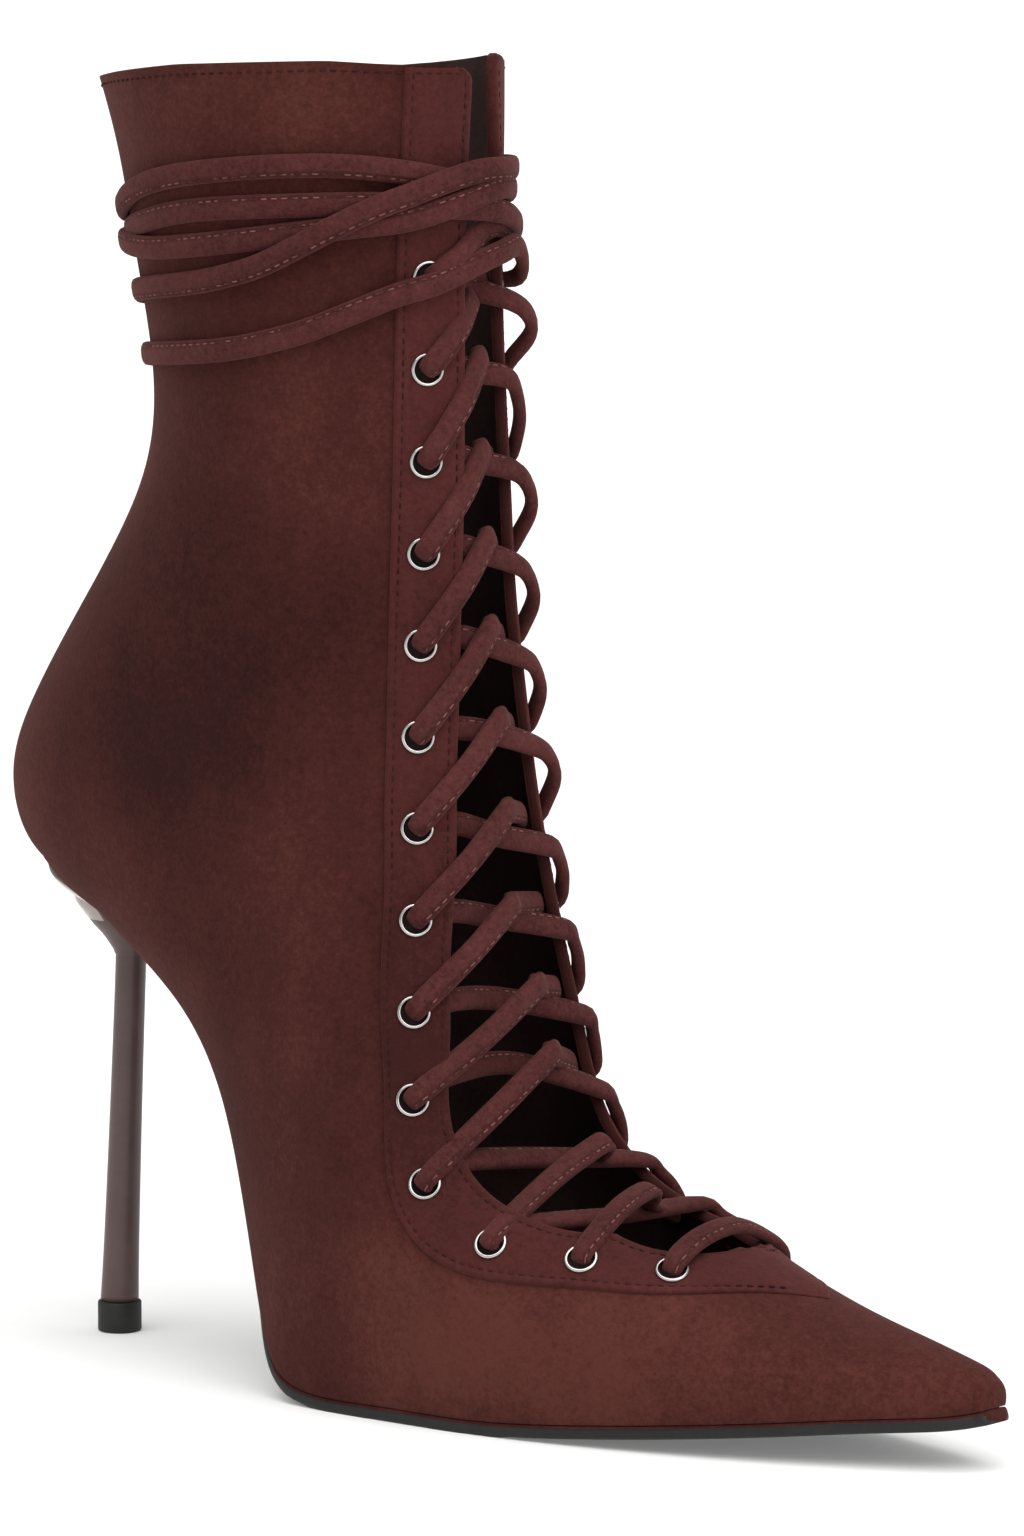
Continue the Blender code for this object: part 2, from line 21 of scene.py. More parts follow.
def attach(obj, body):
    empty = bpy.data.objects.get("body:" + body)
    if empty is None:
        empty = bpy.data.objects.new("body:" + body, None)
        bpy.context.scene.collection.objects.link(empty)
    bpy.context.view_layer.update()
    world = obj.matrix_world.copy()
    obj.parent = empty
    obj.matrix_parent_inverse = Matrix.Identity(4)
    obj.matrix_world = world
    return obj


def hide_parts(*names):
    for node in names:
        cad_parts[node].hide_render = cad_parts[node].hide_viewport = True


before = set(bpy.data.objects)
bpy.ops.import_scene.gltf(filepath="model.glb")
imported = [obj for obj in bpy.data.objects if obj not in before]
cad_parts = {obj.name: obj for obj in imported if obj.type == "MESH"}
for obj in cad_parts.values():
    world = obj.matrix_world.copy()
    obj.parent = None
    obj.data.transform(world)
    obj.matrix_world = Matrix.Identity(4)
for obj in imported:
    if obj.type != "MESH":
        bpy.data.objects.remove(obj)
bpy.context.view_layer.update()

MM = 0.001
BODY = "root"
LOG = logging.getLogger("boot")
# Distances in metres under which points merge: in a plain piece, along a seam, in a fine piece.
PLAIN_WELD, SEAM_WELD, FINE_WELD = 1e-5, 1e-6, 1e-7
RIM_ANGLE = math.radians(55)  # from which an edge of a sheet counts as its rim

Colour = tuple[float, float, float]


class Side(Enum):
    """Side of the foot, with its direction along Y."""

    OUTER = -1
    INNER = 1


class Section(NamedTuple):
    """A cut across the boot, in a plane that holds its front and back points."""

    front_x: float
    front_z: float
    back_x: float
    back_z: float
    outer: float
    inner: float
    widest: float
    crown: float
    inner_crown: float
    side: float
    tuck: float
    gap: float
    swing: float
    facing: float


# From the toe's nose, round under the heel, up to the collar.
SECTIONS = (
    Section(229.5, 15.4, 229.5, 12.7, 0.0, 0.0, 0.40, 2.0, 2.0, 2.6, 0.90, 0.0, 4.0, -66.0),
    Section(227.2, 19.2, 227.5, 12.1, 5.0, 4.6, 0.38, 2.0, 2.0, 2.6, 0.90, 0.0, 3.9, -58.0),
    Section(220.0, 21.5, 221.0, 11.0, 9.6, 8.6, 0.36, 2.0, 2.0, 2.6, 0.92, 0.0, 3.6, -42.0),
    Section(207.5, 24.6, 208.5, 10.0, 15.8, 13.6, 0.36, 2.0, 1.9, 2.6, 0.93, 0.0, 2.9, -22.0),
    Section(190.5, 29.4, 191.5, 8.2, 22.4, 19.2, 0.36, 2.0, 1.8, 2.6, 0.94, 0.0, 1.9, 0.0),
    Section(171.0, 36.8, 171.0, 6.1, 28.8, 25.4, 0.37, 2.0, 1.7, 2.6, 0.94, 0.0, 1.0, 21.5),
    Section(152.0, 43.6, 150.0, 4.2, 33.8, 31.6, 0.38, 2.1, 1.75, 2.6, 0.94, 18.0, 0.4, 33.4),
    Section(135.5, 49.5, 128.0, 2.9, 37.2, 35.6, 0.40, 2.2, 1.82, 2.6, 0.94, 25.5, 0.0, 41.9),
    Section(124.0, 57.0, 104.0, 2.9, 38.6, 37.0, 0.42, 2.2, 1.9, 2.6, 0.94, 26.0, 0.0, 45.4),
    Section(118.0, 69.0, 81.0, 4.4, 38.5, 36.0, 0.44, 2.2, 2.0, 2.6, 0.93, 24.5, 0.0, 44.1),
    Section(115.5, 82.0, 68.3, 19.5, 37.0, 34.0, 0.46, 2.2, 2.05, 2.5, 0.84, 21.5, 0.0, 39.8),
    Section(113.5, 95.5, 53.8, 49.5, 34.5, 33.0, 0.48, 2.1, 1.95, 2.4, 0.66, 18.5, 0.0, 35.3),
    Section(111.8, 110.0, 36.2, 74.5, 33.5, 33.0, 0.49, 2.1, 1.85, 2.4, 0.53, 15.5, 0.0, 31.3),
    Section(110.3, 125.5, 11.0, 93.0, 33.5, 33.0, 0.50, 2.0, 1.8, 2.4, 0.49, 13.2, 0.0, 28.8),
    Section(109.0, 140.5, -13.4, 102.4, 33.0, 32.5, 0.52, 2.0, 1.8, 2.2, 0.0, 11.5, 0.0, 27.0),
    Section(107.8, 155.0, -21.9, 116.0, 32.5, 32.0, 0.53, 2.0, 1.73, 2.2, 0.0, 10.2, 0.0, 25.6),
    Section(106.8, 169.0, -18.2, 133.0, 32.0, 31.5, 0.53, 2.0, 1.65, 2.1, 0.0, 9.2, 0.0, 24.4),
    Section(106.0, 184.0, -0.4, 159.0, 31.5, 31.0, 0.52, 2.0, 1.57, 2.0, 0.0, 8.4, 0.0, 23.4),
    Section(105.2, 200.0, 17.0, 185.0, 31.0, 30.5, 0.50, 2.0, 1.48, 2.0, 0.0, 7.8, 0.0, 22.5),
    Section(104.2, 218.0, 20.6, 208.0, 31.5, 31.0, 0.50, 2.0, 1.44, 2.0, 0.0, 7.0, 0.0, 21.6),
    Section(103.4, 237.0, 17.0, 231.0, 33.5, 33.0, 0.50, 2.0, 1.45, 2.0, 0.0, 6.2, 0.0, 20.7),
    Section(103.0, 255.5, 13.6, 251.5, 36.0, 35.5, 0.50, 2.0, 1.48, 2.0, 0.0, 5.0, 0.0, 19.8),
    Section(102.6, 273.0, 8.6, 268.5, 38.0, 37.5, 0.50, 2.0, 1.5, 2.0, 0.0, 3.6, 0.0, 18.9),
)


def arc_lengths(points: np.ndarray | Sequence[np.ndarray]) -> np.ndarray:
    """Lengths along a line, from its first point to each of its points."""
    return np.concatenate([[0.0], np.cumsum(np.linalg.norm(np.diff(points, axis=0), axis=1))])


def unit(vectors: np.ndarray) -> np.ndarray:
    """Vectors of length 1."""
    return vectors / np.maximum(np.linalg.norm(vectors, axis=-1, keepdims=True), 1e-9)


def cubic_bends(values: np.ndarray) -> np.ndarray:
    """Second derivatives of the natural cubic through values at 0, 1, 2 and so on.

    Args:
        values: The values to run through.

    Returns:
        One second derivative for each value.
    """
    count = len(values)
    system = np.eye(count)
    right = np.zeros(count)
    for row in range(1, count - 1):
        system[row, row - 1 : row + 2] = (1, 4, 1)
        right[row] = 6 * (values[row - 1] - 2 * values[row] + values[row + 1])
    return np.linalg.solve(system, right)


COLUMNS = {name: np.array([getattr(row, name) for row in SECTIONS]) for name in Section._fields}
BENDS = {name: cubic_bends(values) for name, values in COLUMNS.items()}


@dataclass(frozen=True)
class Last:
    """The boot's outer form, from the table of sections."""

    middle_x: float = 104.5
    throat_end: int = 5
    seat_end: int = 14
    samples: int = 160
    corner: float = 5.0  # radius of the throat's upper corners
    corner_row: float = 17.5  # height of the row that they lie in
    seat_round: float = 0.75  # power of the round end that the opening underneath has
    shaft_rows: tuple[float, float] = (16.0, 20.0)  # the shaft's lowest row and one midway
    shaft_step: float = 19.0  # usual height of its rows
    row_step: float = 0.05  # steps along and across that directions are measured over
    arc_step: float = 0.4
    # Signed arcs round the collar from its front, and how far its edge rises there.
    rim: tuple[tuple[float, ...], tuple[float, ...]] = (
        (-136.0, -126.0, -110.0, -70.0, -35.0, -24.0, -14.0, -5.0, 0.0, 5.0, 8.0, 11.0, 14.0, 18.0, 30.0,
         60.0, 110.0, 126.0, 136.0),
        (-2.4, -1.9, -0.5, 0.4, -0.4, -1.4, -2.0, -2.2, -0.7, 0.9, 0.7, 0.1, -0.6, 0.0, 0.8, 0.5, -0.5, -1.9,
         -2.4))

    @property
    def collar(self) -> int:
        """Row of the collar's rim."""
        return len(SECTIONS) - 1

    def size(self, name: str, k: float) -> float:
        """A column of the table at row k.

        Args:
            name: The column.
            k: The row, which may lie between two.

        Returns:
            The size there.
        """
        low = min(int(k), self.collar - 1)
        t = k - low
        values, bends = COLUMNS[name], BENDS[name]
        start = (1 - t) * values[low] + ((1 - t) ** 3 - (1 - t)) * bends[low] / 6
        return start + t * values[low + 1] + (t**3 - t) * bends[low + 1] / 6

    def half_width(self, k: float, side: Side) -> float:
        """Greatest half width at row k, opening like a circle at the nose.

        Args:
            k: The row.
            side: The side of the foot.

        Returns:
            The half width.
        """
        name = "outer" if side is Side.OUTER else "inner"
        if k < 1:
            return COLUMNS[name][1] * math.sqrt(max(0.0, 1 - (1 - k) ** 2))
        return self.size(name, k)

    def throat(self, k: float) -> float:
        """Half width of the throat at row k, with a round end on the vamp.

        Args:
            k: The row.

        Returns:
            The half width of the opening.
        """
        first = self.throat_end + 1
        if k <= self.throat_end:
            return 0.0
        if k < first:
            return COLUMNS["gap"][first] * math.sqrt(1 - (first - k) ** 2)
        return self.size("gap", k)

    def tuck(self, k: float) -> float:
        """Share of the half width left open underneath at row k.

        Args:
            k: The row.

        Returns:
            The share, 0 behind the heel.
        """
        before = self.seat_end - 1
        if k >= self.seat_end:
            return 0.0
        if k > before:
            return COLUMNS["tuck"][before] * (1 - (k - before) ** 2) ** self.seat_round
        return self.size("tuck", k)

    def bottom(self, k: float) -> np.ndarray:
        """Point on the bottom and back profile at row k, as x and z."""
        return np.array([self.size("back_x", k) - self.middle_x, self.size("back_z", k)])

    def _half(self, k: float, side: Side) -> tuple[np.ndarray, np.ndarray, np.ndarray]:
        """Half a section from the crown to the bottom edge.

        Args:
            k: The row.
            side: The side of the foot.

        Returns:
            Arc lengths, half widths and points.
        """
        front = np.array([self.size("front_x", k) - self.middle_x, self.size("front_z", k)])
        back = self.bottom(k)
        wide, widest = self.half_width(k, side), self.size("widest", k)
        crown = self.size("crown" if side is Side.OUTER else "inner_crown", k)
        power = self.size("side", k)
        angle = np.linspace(0, math.pi / 2, self.samples)
        upper_share = widest + (1 - widest) * np.cos(angle) ** (2 / crown)
        upper_y = wide * np.sin(angle) ** (2 / crown)
        reach = (1 - self.tuck(k) ** power) ** (1 / power)
        last = math.asin(min(1.0, reach ** (power / 2)))
        angle = np.linspace(0, last, self.samples)[1:]
        lower_share = widest * (1 - np.sin(angle) ** (2 / power) / reach)
        lower_y = wide * np.maximum(0.0, np.cos(angle)) ** (2 / power)
        share = np.concatenate([upper_share, lower_share])
        across = np.concatenate([upper_y, lower_y])
        if self.tuck(k) == 0:
            across[-1] = 0.0
        flat = back + share[:, None] * (front - back)
        y = side.value * across + self.size("swing", k)
        points = np.stack([flat[:, 0], y, flat[:, 1]], axis=1)
        return arc_lengths(points), across, points

    @lru_cache(maxsize=None)
    def contour(self, k: float) -> tuple[np.ndarray, np.ndarray]:
        """The whole section at row k, from the outer bottom edge over the crown to the inner one.

        Args:
            k: The row.

        Returns:
            Signed arcs from the crown, and points.
        """
        outer_arc, _, outer = self._half(k, Side.OUTER)
        inner_arc, _, inner = self._half(k, Side.INNER)
        arcs = np.concatenate([-outer_arc[:0:-1], inner_arc])
        return arcs, np.concatenate([outer[:0:-1], inner])

    @lru_cache(maxsize=None)
    def edges(self, k: float, side: Side) -> tuple[float, float]:
        """Arcs from the crown to the throat's edge and to the bottom edge.

        Args:
            k: The row.
            side: The side of the foot.

        Returns:
            Both arcs, without a sign.
        """
        arc, across, _ = self._half(k, side)
        edge = float(np.interp(self.throat(k), across[: self.samples], arc[: self.samples]))
        below_rim = (self.collar - k) * self.corner_row
        if below_rim < self.corner:
            left = self.corner - below_rim
            edge += self.corner - math.sqrt(max(0.0, self.corner**2 - left**2))
        return edge, float(arc[-1])

    def points(self, k: float, s: np.ndarray) -> np.ndarray:
        """Points of the outer form in one row.

        Args:
            k: The row.
            s: Signed arcs.

        Returns:
            One point for each arc.
        """
        row = float(min(self.collar, max(0.0, k)))
        arcs, found = self.contour(row)
        made = np.stack([np.interp(s, arcs, found[:, axis]) for axis in range(3)], axis=-1)
        near_rim = max(0.0, row - self.collar + 1) ** 2
        made[..., 2] += near_rim * np.interp(s, *self.rim)
        return made

    def normals(self, k: float, s: np.ndarray) -> np.ndarray:
        """Outward unit normals in one row.

        Args:
            k: The row.
            s: Signed arcs.

        Returns:
            One normal for each arc.
        """
        step = self.row_step
        ahead = self.points(min(self.collar, k + step), s) - self.points(max(step, k - step), s)
        across = self.points(k, s + self.arc_step) - self.points(k, s - self.arc_step)
        return unit(np.cross(across, ahead))

    def frames(self, rows: Sequence[Sequence[float]]) -> tuple[np.ndarray, np.ndarray]:
        """Lifted points and outward normals along a line.

        Args:
            rows: Rows of the table, signed arcs and heights.

        Returns:
            Points and normals.
        """
        points, ups = [], []
        for k, s, height in rows:
            arc = np.array([s])
            up = self.normals(k, arc)[0]
            points.append(self.points(k, arc)[0] + height * up)
            ups.append(up)
        return np.array(points), np.array(ups)

    def lift(self, k: float, s: np.ndarray | float, height: np.ndarray | float) -> np.ndarray:
        """Points at a height over the outer form.

        Args:
            k: The row.
            s: Signed arcs, or one.
            height: Heights, or one.

        Returns:
            The points, or one point.
        """
        arcs = np.atleast_1d(np.asarray(s, float))
        heights = np.broadcast_to(np.asarray(height, float), arcs.shape)
        found = self.points(k, arcs) + heights[:, None] * self.normals(k, arcs)
        return found if np.ndim(s) else found[0]

    def normal(self, k: float, s: float) -> np.ndarray:
        """Outward unit normal at one place."""
        return self.normals(k, np.array([s]))[0]

    def shaft_place(self, turn: float, height: float) -> tuple[float, float]:
        """Place on the shaft at a turn from the front, outer side first, and a height.

        Args:
            turn: Turns round the shaft.
            height: Height over the floor.

        Returns:
            The row and the signed arc.
        """
        share = turn % 1.0
        side = Side.OUTER if share <= 0.5 else Side.INNER
        part = 2 * share if side is Side.OUTER else 2 * (1 - share)
        low, k = self.shaft_rows
        high = float(self.collar)
        for _ in range(5):
            k = round(min(high, max(low, k)), 4)
            s = side.value * part * self.edges(k, side)[1]
            k += (height - self.points(k, np.array([s]))[0, 2]) / self.shaft_step
        k = round(min(high, k), 4)
        return k, side.value * part * self.edges(k, side)[1]

    def seat_frame(self, k: float) -> tuple[np.ndarray, np.ndarray]:
        """Place on the bottom profile and the direction out of the boot there, as x and z.

        Args:
            k: The row.

        Returns:
            The point and the unit direction.
        """
        after, before = min(self.seat_end + 0.5, k + self.row_step), max(0.0, k - self.row_step)
        along = unit(self.bottom(after) - self.bottom(before))
        return self.bottom(k), np.array([-along[1], along[0]])

    def eyelet_rows(self, side: Side, inset: float, top: float, pitch: float, count: int) -> list[float]:
        """Rows where the eyelets sit, from the top one down.

        Args:
            side: The side of the foot.
            inset: From the throat's edge to an eyelet's centre.
            top: From the collar to the first one.
            pitch: Between two of them.
            count: How many.

        Returns:
            One row for each eyelet.
        """
        rows = np.arange(self.collar, self.throat_end, -self.row_step)
        line = []
        for k in rows:
            arc, across, _ = self._half(k, side)
            edge = np.interp(self.throat(k), across[: self.samples], arc[: self.samples])
            line.append(self.points(k, np.array([side.value * (edge + inset)]))[0])
        along = arc_lengths(line)
        return [float(np.interp(top + i * pitch, along, rows)) for i in range(count)]


def smooth_route(rows: Sequence[Sequence[float]], count: int) -> np.ndarray:
    """Points evenly spread on a Catmull-Rom curve.

    Args:
        rows: The rows of numbers that it runs through.
        count: How many points to give.

    Returns:
        The points.
    """
    table = np.array(rows, float)
    padded = np.vstack([2 * table[0] - table[1], table, 2 * table[-1] - table[-2]])
    found = []
    for place in np.linspace(0, len(table) - 1, count):
        i = min(int(place), len(table) - 2)
        t = place - i
        a, b, c, d = padded[i : i + 4]
        square = (2 * a - 5 * b + 4 * c - d) * t**2
        cube = (3 * b - a - 3 * c + d) * t**3
        found.append(0.5 * (2 * b + (c - a) * t + square + cube))
    return np.array(found)


def even_path(points: np.ndarray, step: float) -> np.ndarray:
    """The same line with even steps.

    Args:
        points: Points along a line.
        step: The wanted step.

    Returns:
        New points from the first to the last.
    """
    along = arc_lengths(points)
    places = np.linspace(0, along[-1], max(3, int(round(along[-1] / step)) + 1))
    return np.stack([np.interp(places, along, column) for column in points.T], axis=1)


def draped_grid(target: bmesh.types.BMesh, points: np.ndarray, turn_over: bool = False,
                lay: np.ndarray | None = None) -> list[bmesh.types.BMFace]:
    """A grid laid over rows of points.

    Args:
        target: The mesh that takes it.
        points: Points in millimetres, by row and column.
        turn_over: Whether its faces look the other way.
        lay: Texture places in metres, by row and column.

    Returns:
        The grid's faces.
    """
    rows, columns = points.shape[0] - 1, points.shape[1] - 1
    made = bmesh.ops.create_grid(target, x_segments=columns, y_segments=rows, size=0.5)["verts"]
    faces = list({face for vert in made for face in vert.link_faces})
    if lay is not None:
        layer = target.loops.layers.uv.verify()
        place_of = {vert: divmod(i, columns + 1) for i, vert in enumerate(made)}
        for face in faces:
            for loop in face.loops:
                loop[layer].uv = lay[place_of[loop.vert]]
    for i, vert in enumerate(made):
        vert.co = Vector(points[divmod(i, columns + 1)]) * MM
    if turn_over:
        bmesh.ops.reverse_faces(target, faces=faces)
    return faces


def close_roll(target: bmesh.types.BMesh, faces: Sequence[bmesh.types.BMFace]) -> None:
    """Join the seam of a rolled grid, cap its open ends and turn its faces outwards.

    Args:
        target: The mesh that it is in.
        faces: The grid's faces.
    """
    verts = list({vert for face in faces for vert in face.verts})
    bmesh.ops.remove_doubles(target, verts=verts, dist=SEAM_WELD)
    ends = [edge for edge in target.edges if edge.is_boundary]
    filled = bmesh.ops.holes_fill(target, edges=ends, sides=0)["faces"]
    bmesh.ops.recalc_face_normals(target, faces=[face for face in faces if face.is_valid] + filled)


def put_piece(name: str, target: bmesh.types.BMesh, materials: Sequence[bpy.types.Material],
              replaces: Sequence[str] = (), weld: float = PLAIN_WELD) -> bpy.types.Object:
    """Make an object of a mesh, dress it and let it ride on the boot.

    Args:
        name: The piece's name.
        target: Its mesh in metres, which is used up.
        materials: Its materials in slot order.
        replaces: Nodes of the solid model that it stands for.
        weld: Distance under which its points merge.

    Returns:
        The object.
    """
    bmesh.ops.remove_doubles(target, verts=target.verts, dist=weld)
    for face in target.faces:
        face.smooth = True
    mesh = bpy.data.meshes.new(name)
    target.to_mesh(mesh)
    target.free()
    for material in materials:
        mesh.materials.append(material)
    piece = bpy.data.objects.new(name, mesh)
    bpy.context.scene.collection.objects.link(piece)
    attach(piece, BODY)
    if replaces:
        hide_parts(*replaces)
    LOG.info("%s: %d faces", name, len(mesh.polygons))
    return piece


def copies(target: bmesh.types.BMesh, shape: bmesh.types.BMesh, places: Sequence[np.ndarray]) -> None:
    """Add a copy of a small shape at each place.

    Args:
        target: The mesh that takes them.
        shape: The shape, which is used up.
        places: Matrices in metres.
    """
    small = bpy.data.meshes.new("small_shape")
    shape.to_mesh(small)
    shape.free()
    corners = np.array([(*vert.co, 1.0) for vert in small.vertices])
    faces = [tuple(face.vertices) for face in small.polygons]
    points, joined = [], []
    for number, place in enumerate(places):
        points.extend((corners @ np.asarray(place).T)[:, :3])
        shift = number * len(corners)
        joined.extend(tuple(shift + corner for corner in face) for face in faces)
    whole = bpy.data.meshes.new("small_shapes")
    whole.from_pydata(points, [], joined)
    target.from_mesh(whole)
    bpy.data.meshes.remove(small)
    bpy.data.meshes.remove(whole)


def thicken(piece: bpy.types.Object, thickness: float, inner_slot: int = 0, rounding: float = 0.0,
            even: bool = True) -> None:
    """Give a sheet its thickness, inwards, and round its rims.

    Args:
        piece: The sheet.
        thickness: The wall in millimetres.
        inner_slot: Material slot of the inner face, counted from the outer one.
        rounding: Width of the bevel on the rims in millimetres.
        even: Whether the wall keeps its thickness at corners.
    """
    wall = piece.modifiers.new("wall", "SOLIDIFY")
    wall.thickness = thickness * MM
    wall.offset = -1.0
    wall.use_even_offset = even
    wall.material_offset = inner_slot
    if rounding:
        bevel = piece.modifiers.new("rims", "BEVEL")
        bevel.width = rounding * MM
        bevel.segments = 2
        bevel.limit_method = "ANGLE"
        bevel.angle_limit = RIM_ANGLE


class Value:
    """A shader socket that takes part in sums."""

    def __init__(self, shader: "Shader", socket: bpy.types.NodeSocket) -> None:
        """Keep the socket and the shader that it is in."""
        self.shader = shader
        self.socket = socket

    def math(self, operation: str, *others: "Value | float") -> "Value":
        """A Math node on this value.

        Args:
            operation: The node's operation.
            others: The further inputs.

        Returns:
            The result.
        """
        return self.shader.math(operation, self, *others)

    def __add__(self, other: "Value | float") -> "Value":
        """Sum."""
        return self.math("ADD", other)

    __radd__ = __add__

    def __sub__(self, other: "Value | float") -> "Value":
        """Difference."""
        return self.math("SUBTRACT", other)

    def __rsub__(self, other: float) -> "Value":
        """Difference from a number."""
        return self.shader.math("SUBTRACT", other, self)

    def __mul__(self, other: "Value | float") -> "Value":
        """Product."""
        return self.math("MULTIPLY", other)

    __rmul__ = __mul__

    def __truediv__(self, other: "Value | float") -> "Value":
        """Quotient."""
        return self.math("DIVIDE", other)

    def between(self, low: float, high: float) -> "Value":
        """A smooth step from 0 at low to 1 at high."""
        node = self.shader.node("ShaderNodeMapRange", {"interpolation_type": "SMOOTHSTEP"},
                                {"Value": self, "From Min": low, "From Max": high})
        return Value(self.shader, node.outputs["Result"])


class Shader:
    """A material's node tree, and the few ways that nodes are added to it."""

    def __init__(self, name: str) -> None:
        """Start a material with a plain surface.

        Args:
            name: The material's name.
        """
        self.material = bpy.data.materials.new(name)
        self.material.use_nodes = True
        self.tree = self.material.node_tree
        self.surface = self.tree.nodes["Principled BSDF"]

    def node(self, kind: str, settings: dict | None = None, sockets: dict | None = None) -> bpy.types.Node:
        """Add a node.

        Args:
            kind: The node's type.
            settings: Properties that are set first.
            sockets: Values or links by a socket's identifier, name or number.

        Returns:
            The node.
        """
        made = self.tree.nodes.new(kind)
        for name, value in (settings or {}).items():
            setattr(made, name, value)
        for key, value in (sockets or {}).items():
            self.feed(self.socket(made, key), value)
        return made

    @staticmethod
    def socket(node: bpy.types.Node, key: str | int) -> bpy.types.NodeSocket:
        """Find an input of a node.

        Args:
            node: The node.
            key: The input's number, identifier or name.

        Returns:
            The input.
        """
        if isinstance(key, int):
            return node.inputs[key]
        named = [one for one in node.inputs if one.identifier == key]
        return (named or [one for one in node.inputs if one.name == key])[0]

    def feed(self, socket: bpy.types.NodeSocket,
             value: "Value | bpy.types.NodeSocket | float | tuple") -> None:
        """Link or set an input.

        Args:
            socket: The input.
            value: What goes in.
        """
        if isinstance(value, Value):
            value = value.socket
        if isinstance(value, bpy.types.NodeSocket):
            self.tree.links.new(value, socket)
        else:
            socket.default_value = value

    def math(self, operation: str, *values: "Value | float") -> Value:
        """A Math node.

        Args:
            operation: The node's operation.
            values: Its inputs in order.

        Returns:
            The result.
        """
        made = self.node("ShaderNodeMath", {"operation": operation}, dict(enumerate(values)))
        return Value(self, made.outputs[0])

    def place(self, scale: tuple[float, float, float] = (1.0, 1.0, 1.0)) -> bpy.types.NodeSocket:
        """Object coordinates, stretched.

        Args:
            scale: The stretch along each axis.

        Returns:
            The vector.
        """
        coords = self.node("ShaderNodeTexCoord").outputs["Object"]
        made = self.node("ShaderNodeMapping", None, {"Vector": coords, "Scale": scale})
        return made.outputs["Vector"]

    def noise(self, scale: float, detail: float = 2.0, roughness: float = 0.5,
              vector: bpy.types.NodeSocket | None = None) -> Value:
        """A noise value from 0 to 1 on Object coordinates.

        Args:
            scale: Lumps to the metre.
            detail: Finer layers.
            roughness: Strength of the finer layers.
            vector: Other coordinates.

        Returns:
            The value.
        """
        made = self.node("ShaderNodeTexNoise", None, {
            "Vector": vector or self.place(), "Scale": scale, "Detail": detail, "Roughness": roughness})
        return Value(self, made.outputs["Fac"])

    def mix(self, factor: "Value | float", first: "bpy.types.NodeSocket | Colour",
            second: "bpy.types.NodeSocket | Colour") -> bpy.types.NodeSocket:
        """A mix of two colours.

        Args:
            factor: Share of the second.
            first: The first colour.
            second: The second colour.

        Returns:
            The mixed colour.
        """
        ends = [(*one, 1.0) if isinstance(one, tuple) else one for one in (first, second)]
        made = self.node("ShaderNodeMix", {"data_type": "RGBA"}, {
            "Factor_Float": factor, "A_Color": ends[0], "B_Color": ends[1]})
        return made.outputs[2]

    def attribute(self, name: str) -> Value:
        """A value stored on the piece's points."""
        return Value(self, self.node("ShaderNodeAttribute", {"attribute_name": name}).outputs["Fac"])

    def bump(self, height: Value, distance: float, strength: float = 1.0) -> None:
        """Let a height shape the surface.

        Args:
            height: From 0 to 1.
            distance: Its depth in metres.
            strength: Share of the effect.
        """
        made = self.node("ShaderNodeBump", None, {
            "Height": height, "Distance": distance, "Strength": strength})
        self.tree.links.new(made.outputs["Normal"], self.surface.inputs["Normal"])

    def dress(self, **sockets: "Value | bpy.types.NodeSocket | float | tuple") -> None:
        """Set or link inputs of the surface, underscores standing for spaces."""
        for name, value in sockets.items():
            self.feed(self.surface.inputs[name.replace("_", " ")], value)


